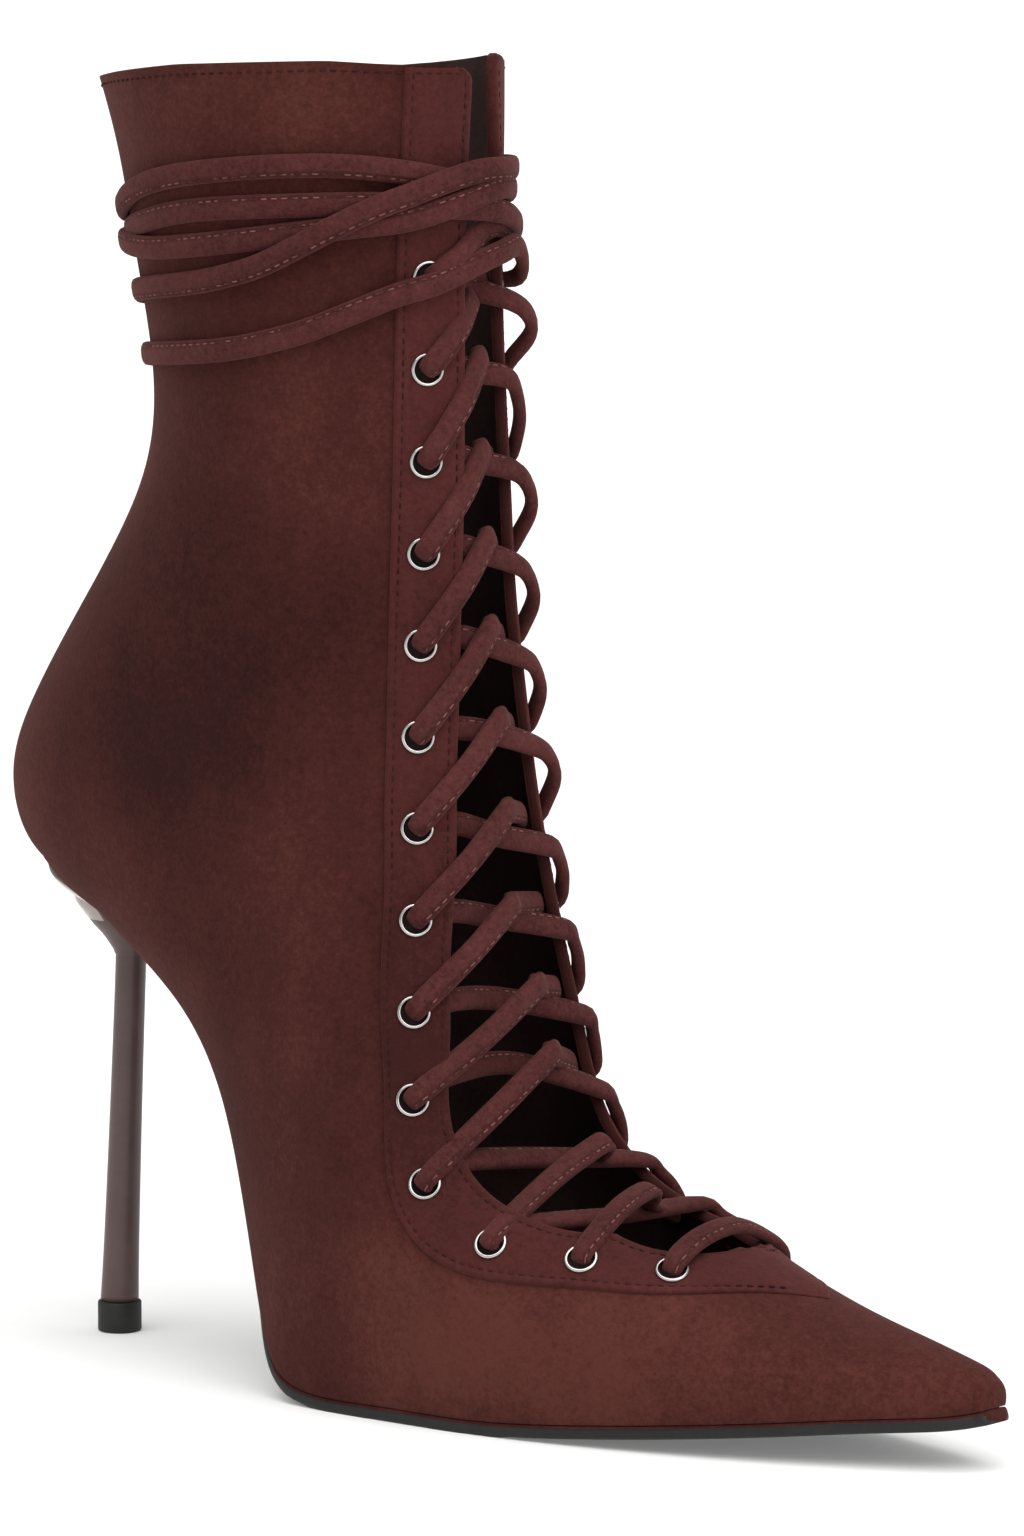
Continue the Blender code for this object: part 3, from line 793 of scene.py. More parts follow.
@dataclass(frozen=True)
class Suede:
    """Napped suede, its tone from noise and from a stored value of brushed tone with painted light and shade.
    """

    name: str
    dark: Colour
    mid: Colour
    light: Colour
    sheen: float = 0.10
    grain: float = 0.06
    stitched: bool = False
    # shaded: reads the stored painted light and shade, mixed with brushed tone
    shaded: bool = False
    nap_depth: float = 0.00034
    thread: Colour = (0.17, 0.070, 0.062)
    # The holes' colour is painted shade.
    hole: Colour = (0.012, 0.005, 0.005)
    stitch_depth: float = 0.0005
    stitch_pitch: float = 0.0022
    stitch_share: float = 0.5  # of the pitch that shows thread
    stitch_place: float = 0.15  # in turns round the lace
    stitch_fade: float = 0.06

    def make(self) -> bpy.types.Material:
        """Build the material.

        Returns:
            The material.
        """
        shader = Shader(self.name)
        cloud = shader.noise(26, 3.0, 0.55)
        stroke = shader.noise(60, 3.0, 0.6, shader.place((1.0, 1.0, 0.45)))
        fleck = shader.noise(520, 2.0, 0.6)
        tuft = shader.noise(1150, 2.0, 0.6)
        fibre = shader.noise(3400, 2.0, 0.65)
        tone = cloud * 0.36 + stroke * 0.22 + fleck * 0.14 + tuft * 0.17 + fibre * 0.11
        tone = tone + (fleck + tuft * 1.6 + fibre - 1.8) * self.grain
        # Painted light and shade, mixed with brushed tone, stored on the piece's points.
        if self.shaded:
            tone = tone + shader.attribute("nap_and_painted_light")
        colour = shader.mix(tone.between(0.30, 0.56), self.dark, self.mid)
        colour = shader.mix(tone.between(0.50, 0.78), colour, self.light)
        height = fibre * 0.45 + tuft * 0.35 + fleck * 0.2
        if self.stitched:
            colour, height = self.sewn(shader, colour, height)
        shader.bump(height, self.stitch_depth if self.stitched else self.nap_depth)
        shader.dress(Base_Color=colour, Roughness=0.92 - fibre * 0.1, Sheen_Weight=self.sheen,
                     Sheen_Roughness=0.5, Sheen_Tint=(0.8, 0.40, 0.36, 1.0), Specular_IOR_Level=0.05)
        return shader.material

    def sewn(self, shader: Shader, colour: bpy.types.NodeSocket,
             height: Value) -> tuple[bpy.types.NodeSocket, Value]:
        """Sew a row of stitches into the suede, on its own UV layer.

        Args:
            shader: The material's nodes.
            colour: The suede's colour.
            height: The suede's height.

        Returns:
            Colour and height with the stitches, and painted shade darkening their groove and their holes.
        """
        lay = shader.node("ShaderNodeSeparateXYZ", None, {
            "Vector": shader.node("ShaderNodeUVMap").outputs["UV"]})
        around, along = Value(shader, lay.outputs["X"]), Value(shader, lay.outputs["Y"])
        off_line = (around - self.stitch_place).math("ABSOLUTE")
        off_middle = ((along / self.stitch_pitch).math("FRACT") - 0.5).math("ABSOLUTE")
        line = 1 - off_line.between(0.009, 0.018)
        groove = 1 - off_line.between(0.015, 0.06)
        half = self.stitch_share / 2
        dash = line * (1 - off_middle.between(half, half + self.stitch_fade))
        hole = line * off_middle.between(0.44, 0.48)
        worn = shader.noise(330, 1.0, 0.5).between(0.38, 0.58)
        # Painted shade: the groove and the holes are darker.
        colour = shader.mix(groove * 0.35, colour, self.dark)
        colour = shader.mix(dash * worn, colour, self.thread)
        colour = shader.mix(hole * 0.85, colour, self.hole)
        return colour, height * 0.25 + dash * 0.7 - groove * 0.5


@dataclass(frozen=True)
class Smooth:
    """A plain finish with fine mottling, for lacquer, metal, leather, rubber, thread and paper."""

    name: str
    colour: Colour
    worn: Colour
    rough: float
    metal: float = 0.0
    coat: float = 0.0
    grain: float = 900.0
    depth: float = 0.00004
    gloss: float = 0.5
    glow: float = 0.0

    def make(self) -> bpy.types.Material:
        """Build the material.

        Returns:
            The material.
        """
        shader = Shader(self.name)
        cloud = shader.noise(70, 3.0, 0.55)
        grain = shader.noise(self.grain, 2.0, 0.5)
        tone = cloud * 0.65 + grain * 0.35
        shader.bump(grain, self.depth)
        shader.dress(Base_Color=shader.mix(tone.between(0.35, 0.75), self.colour, self.worn),
                     Roughness=self.rough - 0.1 + tone * 0.2, Metallic=self.metal, Coat_Weight=self.coat,
                     Coat_Roughness=0.12, Specular_IOR_Level=self.gloss, Emission_Strength=self.glow)
        return shader.material


@dataclass
class Finishes:
    """All finishes of the boot."""

    suede: bpy.types.Material = field(init=False)
    facing: bpy.types.Material = field(init=False)
    lace: bpy.types.Material = field(init=False)
    lining: bpy.types.Material = field(init=False)
    sole: bpy.types.Material = field(init=False)
    lacquer: bpy.types.Material = field(init=False)
    lacquer_reflection: bpy.types.Material = field(init=False)
    tip: bpy.types.Material = field(init=False)
    nickel: bpy.types.Material = field(init=False)
    thread: bpy.types.Material = field(init=False)
    dark: bpy.types.Material = field(init=False)

    def __post_init__(self) -> None:
        """Make each material once."""
        self.suede = Suede("suede", (0.0190, 0.0052, 0.0050), (0.044, 0.0112, 0.0092),
                           (0.085, 0.0250, 0.0190), shaded=True).make()
        self.facing = Suede("facing_suede", (0.0295, 0.0079, 0.0074), (0.057, 0.0145, 0.0130),
                            (0.087, 0.0256, 0.0218), shaded=True).make()
        self.lace = Suede("lace_suede", (0.032, 0.0088, 0.0084), (0.062, 0.0177, 0.0166),
                          (0.092, 0.0290, 0.0268), grain=0.16, stitched=True).make()
        self.lining = Smooth("lining_leather", (0.036, 0.0200, 0.0185), (0.058, 0.0330, 0.0305), 0.9,
                             depth=0.00012, gloss=0.08).make()
        self.sole = Smooth("sole_black", (0.0045, 0.0045, 0.0045), (0.011, 0.0107, 0.0104), 0.45,
                           gloss=0.3).make()
        self.lacquer = Smooth("heel_lacquer", (0.076, 0.046, 0.042), (0.092, 0.057, 0.052), 0.45, metal=0.05,
                              coat=0.1, grain=500.0, depth=0.00001, gloss=0.35).make()
        # Light grey metal on the heel's lacquer: painted reflection of the bright floor.
        self.lacquer_reflection = Smooth("heel_seat_painted_reflection", (0.27, 0.225, 0.21), (0.34, 0.29, 0.275), 0.28, metal=0.8,
                             coat=0.4, grain=500.0, depth=0.00001).make()
        self.tip = Smooth("tip_rubber", (0.010, 0.0095, 0.009), (0.020, 0.019, 0.018), 0.6, gloss=0.35).make()
        self.nickel = Smooth("nickel", (0.40, 0.39, 0.38), (0.54, 0.52, 0.50), 0.22, metal=1.0, grain=700.0,
                             depth=0.00001).make()
        # Dark thread, partly painted shade of the stitch holes.
        self.thread = Smooth("seam_thread_and_hole_shade", (0.014, 0.0050, 0.0050), (0.050, 0.0165, 0.0155), 0.9,
                             grain=600.0, depth=0.00008, gloss=0.1).make()
        # Painted shade for the eyelets' holes.
        self.dark = Smooth("eyelet_shadow", (0.006, 0.004, 0.004), (0.014, 0.008, 0.008), 0.9,
                           gloss=0.03).make()


class Spot(NamedTuple):
    """A soft round place on the leather: centre, reach and strength."""

    x: float
    y: float
    z: float
    reach: float
    strength: float


def spread(spots: Sequence[Spot], points: np.ndarray) -> np.ndarray:
    """Sum of soft spots at points.

    Args:
        spots: The spots.
        points: Points in millimetres.

    Returns:
        One number for each point.
    """
    total = np.zeros(len(points))
    for spot in spots:
        away = np.linalg.norm(points - np.array([spot.x, spot.y, spot.z]), axis=1) / spot.reach
        total += spot.strength * np.exp(-(away**2))
    return total


def paint_light_and_tone(piece: bpy.types.Object, spots: Sequence[Spot]) -> None:
    """Store on a piece's points painted light and shade, mixed with brushed tone, which darken or lighten the
    suede.

    Args:
        piece: The piece.
        spots: Where light and shade are painted and the tone is brushed.
    """
    places = np.array([vert.co for vert in piece.data.vertices]) / MM
    layer = piece.data.attributes.new("nap_and_painted_light", "FLOAT", "POINT")
    layer.data.foreach_set("value", spread(spots, places))


@dataclass
class Upper:
    """The suede wall, its collar and its lining."""

    last: Last
    finishes: Finishes
    wall: float = 1.35
    rim_bevel: float = 0.45
    columns: int = 44
    rows_each: int = 11
    # Soft creases at the ankle, in millimetres.
    hollows: tuple[Spot, ...] = (
        Spot(-54.0, -32.0, 136.0, 24.0, 1.6),
        Spot(-54.0, 32.0, 136.0, 24.0, 1.6),
    )
    # Painted light and shade mixed with brushed tone: darker in the ankle hollows, lighter on the forefoot's
    # outer side, which faces the light.
    painted_light_and_tone_spots: tuple[Spot, ...] = (
        Spot(-54.0, -32.0, 138.0, 30.0, -0.22),
        Spot(-54.0, 32.0, 138.0, 30.0, -0.18),
        Spot(-108.0, -18.0, 110.0, 24.0, 0.08),
        Spot(-30.0, -34.0, 105.0, 26.0, 0.06),
        Spot(-82.0, -18.0, 186.0, 15.0, 0.10),
        Spot(-30.0, -33.0, 192.0, 20.0, 0.06),
        Spot(-60.0, -36.0, 212.0, 16.0, -0.06),
        Spot(-18.0, -32.0, 123.0, 26.0, 0.06),
        Spot(-75.0, -36.0, 260.0, 30.0, 0.08),
        Spot(-35.0, -36.0, 262.0, 24.0, 0.08),
        Spot(-5.0, -37.0, 20.0, 28.0, 0.10),
        Spot(30.0, -36.0, 22.0, 30.0, 0.09),
        Spot(28.0, -37.0, 16.0, 14.0, 0.09),
        Spot(59.0, -28.0, 25.0, 12.0, 0.04),
        Spot(70.0, -26.0, 17.0, 28.0, 0.10),
        Spot(110.0, -10.0, 18.0, 22.0, 0.10),
    )

    def rows(self) -> list[float]:
        """Rows of the table where the mesh has points, closer at the round ends and at the rim.

        Returns:
            The rows from the nose to the collar.
        """
        quarter = np.linspace(0, math.pi / 2, 15)
        throat, seat, top = self.last.throat_end, self.last.seat_end, self.last.collar
        step = 1 / self.rows_each
        found = [*(1 - np.cos(quarter)), *np.arange(1 + step, throat - step / 2, step)]
        found += [*(throat + 1 - np.cos(quarter)), *np.arange(throat + 1 + step, seat - 1 - step / 2, step)]
        found += [*(seat - 1 + np.sin(quarter)), *np.arange(seat + step, top - 0.25, step)]
        found += [*np.linspace(top - 0.22, top, 8)]
        return [round(float(k), 4) for k in found]

    def build(self) -> bpy.types.Object:
        """Build the wall.

        Returns:
            The piece.
        """
        target = bmesh.new()
        for side in Side:
            rows = []
            for k in self.rows():
                start, end = self.last.edges(k, side)
                rows.append(self.shaped(k, side.value * np.linspace(start, end, self.columns + 1)))
            draped_grid(target, np.array(rows), turn_over=side is Side.OUTER)
        materials = (self.finishes.suede, self.finishes.lining)
        piece = put_piece("upper_suede", target, materials, ("upper",))
        paint_light_and_tone(piece, self.painted_light_and_tone_spots)
        thicken(piece, self.wall, 1, self.rim_bevel, even=False)
        return piece

    def shaped(self, k: float, arcs: np.ndarray) -> np.ndarray:
        """A row of the wall with its soft hollows.

        Args:
            k: The row.
            arcs: Signed arcs.

        Returns:
            Points of the row.
        """
        found = self.last.points(k, arcs)
        depth = spread(self.hollows, found)
        return found - depth[:, None] * self.last.normals(k, arcs)


@dataclass
class Facing:
    """The raised strip round the throat, with folded edges."""

    last: Last
    finishes: Finishes
    point_row: float = 4.02
    height: float = 1.0
    sheet: float = 0.7
    roll: float = 0.8  # width of the outer edge's rounding
    full_width: float = 7.0  # of the strip, under which its edges grow smaller
    flat_reach: float = 10.0  # how far from the throat the inner side comes to lie flat
    fold_rows: float = 0.15  # over which the throat's fold begins
    # Distances of the mesh's lines from the throat's edge and from the outer edge.
    throat_steps: tuple[float, ...] = (0.6, 0.9, 1.2, 1.5, 1.9, 2.4)
    edge_steps: tuple[float, ...] = (3.2, 2.5, 2.05, 1.7, 1.35, 1.0, 0.7, 0.42, 0.2, 0.06, 0.0)
    # The fold at the throat, as distances from its edge and heights.
    fold: tuple[tuple[float, float], ...] = (
        (0.7, -1.5), (0.35, -1.47), (0.05, -1.3), (-0.25, -0.95), (-0.36, -0.4), (-0.32, 0.2), (-0.13, 0.62),
        (0.18, 0.87))
    seam_inset: float = 1.7
    groove: float = 0.2
    groove_width: float = 0.45
    rows_each: int = 12
    # Painted shade on the far fold, which lies in shadow inside the throat: how much darker it is at the
    # lower of two heights, and its share at the upper one.
    far_shade: float = 0.3
    far_heights: tuple[float, float] = (205.0, 250.0)
    far_share: float = 0.2
    far_slope: float = -0.25
    # Painted shade mixed with brushed tone, darker low on the outer facing.
    painted_light_and_tone_spots: tuple[Spot, ...] = (Spot(4.0, -34.0, 72.0, 26.0, -0.16), Spot(-2.0, -30.0, 140.0, 30.0, -0.03))

    def rows(self) -> list[float]:
        """Rows of the table where the mesh has points, closer at the throat's round end and at the rim.

        Returns:
            The rows from the point to just under the collar.
        """
        quarter = np.linspace(0, math.pi / 2, 20)
        throat, top = self.last.throat_end, self.last.collar
        step = 1 / self.rows_each
        found = [*np.arange(self.point_row, throat - step / 2, step / 2), *(throat + 1 - np.cos(quarter))]
        found += [*np.arange(throat + 1 + step, top - 0.25, step), *np.linspace(top - 0.22, top - 0.035, 8)]
        return [round(float(k), 4) for k in found]

    def span(self, k: float, side: Side) -> tuple[float, float]:
        """Arcs of the strip's two edges at row k, without a sign.

        Args:
            k: The row.
            side: The side of the foot.

        Returns:
            The throat's edge and the outer edge.
        """
        start = self.last.edges(k, side)[0]
        return start, max(start, self.last.size("facing", k))

    def rise(self, k: float, rows: float, power: float) -> float:
        """Height of the strip at row k, where it grows over some rows from its point."""
        return self.height * float(np.clip((k - self.point_row) / rows, 0.03, 1.0)) ** power

    def dent(self, away: np.ndarray) -> np.ndarray:
        """Depth of the seam's groove at distances from an edge."""
        return self.groove * np.exp(-(((away - self.seam_inset) / self.groove_width) ** 2))

    def profile(self, k: float, width: float, side: Side) -> np.ndarray:
        """The strip's cut at row k, from under the throat's fold to the outer edge.

        Args:
            k: The row.
            width: The strip's width there.
            side: The side of the foot, as the inner side's point lies flatter.

        Returns:
            Distances from the throat's edge, and heights over the wall.
        """
        small = min(1.0, width / self.full_width)
        inner = np.array(self.throat_steps) * small
        outer = width - np.array(self.edge_steps) * small
        away = np.concatenate([inner, np.linspace(inner[-1], outer[0], 7)[1:-1], outer])
        near = np.clip(1 - (width - away) / self.roll, 0, 1)
        tall = self.rise(k, 0.9, 0.5)
        if side is Side.INNER:
            share = np.clip(away / self.flat_reach, 0.0, 1.0)
            tall = tall + (self.rise(k, 1.6, 1.5) - tall) * share**2 * (3 - 2 * share)
        heights = tall * np.sqrt(1 - near**2) + 0.05
        heights -= self.dent(width - away)
        bend = float(np.clip((k - self.last.throat_end) / self.fold_rows, 0, 1))
        if bend > 0:
            heights -= self.dent(away)
        folded = np.array(self.fold) * bend + (1 - bend) * np.array([0.0, heights[0]])
        away[0] = away[0] * bend
        return np.vstack([folded, np.stack([away, heights], axis=1)])

    def build(self) -> bpy.types.Object:
        """Build the strip.

        Returns:
            The piece.
        """
        target = bmesh.new()
        for side in Side:
            rows = []
            for k in self.rows():
                start, end = self.span(k, side)
                cut = self.profile(k, max(0.01, end - start), side)
                rows.append(self.last.lift(k, side.value * (start + cut[:, 0]), cut[:, 1]))
            draped_grid(target, np.array(rows), turn_over=side is Side.OUTER)
        piece = put_piece("facing_strip", target, (self.finishes.facing,), ("eyestay",))
        paint_light_and_tone(piece, self.painted_light_and_tone_spots)
        self.paint_far_fold_shade(piece)
        thicken(piece, self.sheet, even=False)
        return piece

    def paint_far_fold_shade(self, piece: bpy.types.Object) -> None:
        """Paint shade on the inner side's fold, which faces the throat and lies in its shadow.

        Args:
            piece: The strip.
        """
        layer = piece.data.attributes["nap_and_painted_light"]
        for vert, value in zip(piece.data.vertices, layer.data):
            if vert.co.y > 0 and vert.normal.y < self.far_slope:
                share = np.interp(vert.co.z / MM, self.far_heights, (1.0, self.far_share))
                value.value -= self.far_shade * float(share)


@dataclass
class Seams:
    """Rows of thread on the facing and round the collar."""

    last: Last
    facing: Facing
    finishes: Finishes
    pitch: float = 2.2
    length: float = 1.45
    thick: float = 0.42
    proud: float = 0.06
    edge_top: float = 21.93  # rows where the seams along the facing end, and the collar's row
    throat_top: float = 21.9
    collar_row: float = 21.885

    def lines(self) -> list[tuple[np.ndarray, np.ndarray]]:
        """All rows of stitches.

        Returns:
            Points and outward directions of each.
        """
        found = []
        row = self.collar_row
        quarter = np.linspace(0.0, math.pi / 2, 24)
        after_throat = self.last.throat_end + 1
        for side in Side:
            past_point, past_throat = (0.3, 1.8) if side is Side.OUTER else (1.2, 9.0)
            places = []
            for k in np.arange(self.facing.point_row + past_point, self.edge_top, 0.04):
                end = self.facing.span(round(k, 3), side)[1]
                places.append((k, side.value * (end - self.facing.seam_inset)))
            found.append(self.trace(places))
            throat = [round(float(k), 4) for k in after_throat - np.cos(quarter)]
            throat += [round(float(k), 3) for k in np.arange(after_throat + 0.05, self.throat_top, 0.05)]
            found.append(self.throat_line(throat, side))
            start, end = self.facing.span(row, side)
            arcs = np.linspace(start + past_throat, self.last.edges(row, side)[1], 120)
            heights = np.where(arcs < end - 0.5, self.facing.height, 0.0)
            points = self.last.lift(row, side.value * arcs, heights)
            found.append((points, self.last.normals(row, side.value * arcs)))
        return found

    def trace(self, places: Sequence[tuple[float, float]]) -> tuple[np.ndarray, np.ndarray]:
        """A line in the bottom of the facing's groove.

        Args:
            places: Rows and signed arcs.

        Returns:
            Points and outward directions.
        """
        height = self.facing.height - self.facing.groove
        return self.last.frames([(k, s, height) for k, s in places])

    def throat_line(self, rows: Sequence[float], side: Side) -> tuple[np.ndarray, np.ndarray]:
        """A line that keeps its distance from the throat's edge.

        Args:
            rows: Rows of the table.
            side: The side of the foot.

        Returns:
            Points and outward directions.
        """
        edge, ups = self.trace([(k, side.value * self.last.edges(k, side)[0]) for k in rows])
        ahead = unit(np.gradient(edge, axis=0))
        return edge + self.facing.seam_inset * np.cross(ahead, ups) * side.value, ups

    def build(self) -> bpy.types.Object:
        """Build all stitches as one mesh.

        Returns:
            The piece.
        """
        places = []
        for points, ups in self.lines():
            both = even_path(np.hstack([points, ups]), self.pitch)
            middles = (both[1:] + both[:-1]) / 2
            for step, place in zip(np.diff(both[:, :3], axis=0), middles):
                ahead = unit(step)
                up = unit(place[3:] - ahead * np.dot(place[3:], ahead))
                turn = np.eye(4)
                turn[:3, 0] = ahead * self.length / 2 * MM
                turn[:3, 1] = np.cross(up, ahead) * self.thick / 2 * MM
                turn[:3, 2] = up * self.thick / 2 * MM
                turn[:3, 3] = (place[:3] + up * self.proud) * MM
                places.append(turn)
        stitch, target = bmesh.new(), bmesh.new()
        bmesh.ops.create_uvsphere(stitch, u_segments=6, v_segments=4, radius=1.0)
        copies(target, stitch, places)
        return put_piece("seam_stitches", target, (self.finishes.thread,), (), FINE_WELD)


@dataclass
class Eyelets:
    """Rolled rings, with dark discs of painted shade for their holes."""

    last: Last
    facing: Facing
    finishes: Finishes
    count: int = 14
    inset: float = 8.0
    top: float = 44.5
    pitch: float = 18.5
    radius: float = 3.4
    ring: float = 0.4
    ring_lift: float = 0.25
    floor_lift: float = 0.12
    sink: float = 0.55  # how far the inner side's rings lie in the suede
    # From the top eyelet down: shifts away from the throat, and shifts up in rows.
    drift: tuple[float, ...] = (0.0, 0.0, 0.0, 0.0, 0.0, 0.0, 0.0, 0.0, 0.3, 1.3, 1.5, 0.5, 0.0, -1.0)
    climb: tuple[float, ...] = (0.0, 0.0, 0.0, 0.0, 0.0, 0.0, 0.0, 0.0, 0.0, 0.1, 0.18, 0.05, 0.0, 0.0)
    rows: dict[Side, list[float]] = field(init=False)

    def __post_init__(self) -> None:
        """Find the rows."""
        self.rows = {}
        for side in Side:
            top = self.top + float(np.interp(side.value * self.last.corner, *self.last.rim))
            found = self.last.eyelet_rows(side, self.inset, top, self.pitch, self.count)
            self.rows[side] = [row + more for row, more in zip(found, self.climb)]

    def arc(self, number: int, side: Side) -> float:
        """Arc of an eyelet's centre, without a sign."""
        return self.last.edges(round(self.rows[side][number], 4), side)[0] + self.inset + self.drift[number]

    def build(self) -> list[bpy.types.Object]:
        """Build the rings and the discs of painted shade inside them.

        Returns:
            Both pieces.
        """
        places = []
        for side in Side:
            for number, k in enumerate(self.rows[side]):
                s = side.value * self.arc(number, side)
                up = self.last.normal(k, s)
                first = self.last.points(k, np.array([s + 1]))[0] - self.last.points(k, np.array([s - 1]))[0]
                first = unit(first - up * np.dot(first, up))
                turn = np.eye(4)
                turn[:3, 0], turn[:3, 1], turn[:3, 2] = first, np.cross(up, first), up
                sunk = self.sink if side is Side.INNER else 0.0
                turn[:3, 3] = self.last.lift(k, s, self.facing.height - sunk) * MM
                places.append(turn)
        rings, shade_discs = bmesh.new(), bmesh.new()
        copies(rings, self.ring_shape(), places)
        # Dark discs inside the rings: painted shade in place of the open holes.
        floor = bmesh.new()
        bmesh.ops.create_circle(floor, cap_ends=True, segments=20, radius=(self.radius - self.ring) * MM)
        bmesh.ops.translate(floor, verts=floor.verts, vec=(0, 0, self.floor_lift * MM))
        copies(shade_discs, floor, places)
        nodes = [f"eyelet_{word}_{n:02d}" for word in ("lateral", "medial") for n in range(1, self.count + 1)]
        return [put_piece("eyelet_rings", rings, (self.finishes.nickel,), nodes, FINE_WELD),
                put_piece("eyelet_hole_shade", shade_discs, (self.finishes.dark,), (), FINE_WELD)]

    def ring_shape(self) -> bmesh.types.BMesh:
        """One rolled ring, standing on z = 0.

        Returns:
            Its mesh.
        """
        target = bmesh.new()
        made = bmesh.ops.create_circle(target, segments=10, radius=self.ring * MM)["verts"]
        bmesh.ops.rotate(target, verts=made, matrix=Matrix.Rotation(math.pi / 2, 3, "X"))
        centre = ((self.radius - self.ring) * MM, 0, self.ring_lift * MM)
        bmesh.ops.translate(target, verts=made, vec=centre)
        bmesh.ops.spin(target, geom=made + list(target.edges), axis=(0, 0, 1), cent=(0, 0, 0), steps=32,
                       angle=2 * math.pi, use_merge=True)
        bmesh.ops.remove_doubles(target, verts=target.verts, dist=FINE_WELD)
        bmesh.ops.recalc_face_normals(target, faces=target.faces)
        return target


@dataclass
class Cord:
    """A flat-round folded lace along a line."""

    width: float = 4.9
    thick: float = 2.7
    around: int = 14
    round_power: float = 0.8  # of its cut, 1 being an ellipse
    pinched: float = 0.45  # share of its thickness that stays however narrow it is

    def add(self, target: bmesh.types.BMesh, points: np.ndarray, wides: np.ndarray,
            pinch: np.ndarray) -> None:
        """Add a stretch of lace.

        Args:
            target: The mesh that takes it.
            points: Its middle line.
            wides: Directions across its flat side.
            pinch: Share of its width at each point.
        """
        ahead = unit(np.gradient(points, axis=0))
        wide = unit(wides - ahead * np.sum(wides * ahead, axis=1, keepdims=True))
        up = np.cross(wide, ahead)
        turn = np.linspace(0, 2 * math.pi, self.around + 1)
        cosine, sine = np.cos(turn), np.sin(turn)
        across = np.sign(cosine) * np.abs(cosine) ** self.round_power * self.width / 2
        over = np.sign(sine) * np.abs(sine) ** self.round_power * self.thick / 2
        tall = self.pinched + (1 - self.pinched) * pinch
        grid = points[:, None, :] + wide[:, None, :] * (across[None, :] * pinch[:, None])[:, :, None]
        grid = grid + up[:, None, :] * (over[None, :] * tall[:, None])[:, :, None]
        along = arc_lengths(points) * MM
        lay = np.stack(np.broadcast_arrays(turn[None, :] / (2 * math.pi), along[:, None]), axis=-1)
        close_roll(target, draped_grid(target, grid, False, lay))


class Crossing(NamedTuple):
    """A pair of strands between two rows of eyelets."""

    tip_share: float  # where the upper strand dives, as a share of the way to the next row
    tip_arc: float  # its signed arc from the crown there
    tip_height: float
    edge_share: float  # where the lower strand leaves the inner edge, as the same share
    loop: float  # how far that strand stands off the inner facing
    middle: float  # its height where it passes under the upper one
    sag: float  # how many rows lower than midway it does so


# From the second eyelets at the top down to the thirteenth.
CROSSINGS = (
    Crossing(0.76, -2.0, -3.0, 0.75, 6.6, -5.7, 0.00),
    Crossing(1.11, -2.0, -0.9, 0.87, 3.6, -3.6, 0.00),
    Crossing(1.06, -2.0, -1.4, 0.84, 5.2, -4.1, 0.00),
    Crossing(1.05, -2.0, -0.9, 0.78, 4.8, -3.6, 0.00),
    Crossing(1.07, -2.0, -1.0, 0.70, 4.2, -3.7, 0.00),
    Crossing(1.04, -2.0, -0.1, 0.71, 5.0, -3.6, 0.00),
    Crossing(1.01, -2.0, 0.2, 0.56, 3.2, -4.6, 0.10),
    Crossing(0.81, -2.0, -0.9, 0.54, 2.9, -7.0, 0.12),
    Crossing(0.65, 4.0, -0.8, 0.43, 2.5, -9.0, 0.24),
    Crossing(0.61, 4.0, 0.4, 0.46, 3.0, -8.3, 0.15),
    Crossing(0.37, 8.0, 0.5, 0.46, 3.0, -8.2, 0.22),
    Crossing(0.30, 2.0, 0.0, 0.50, 3.0, -7.4, 0.23),
)


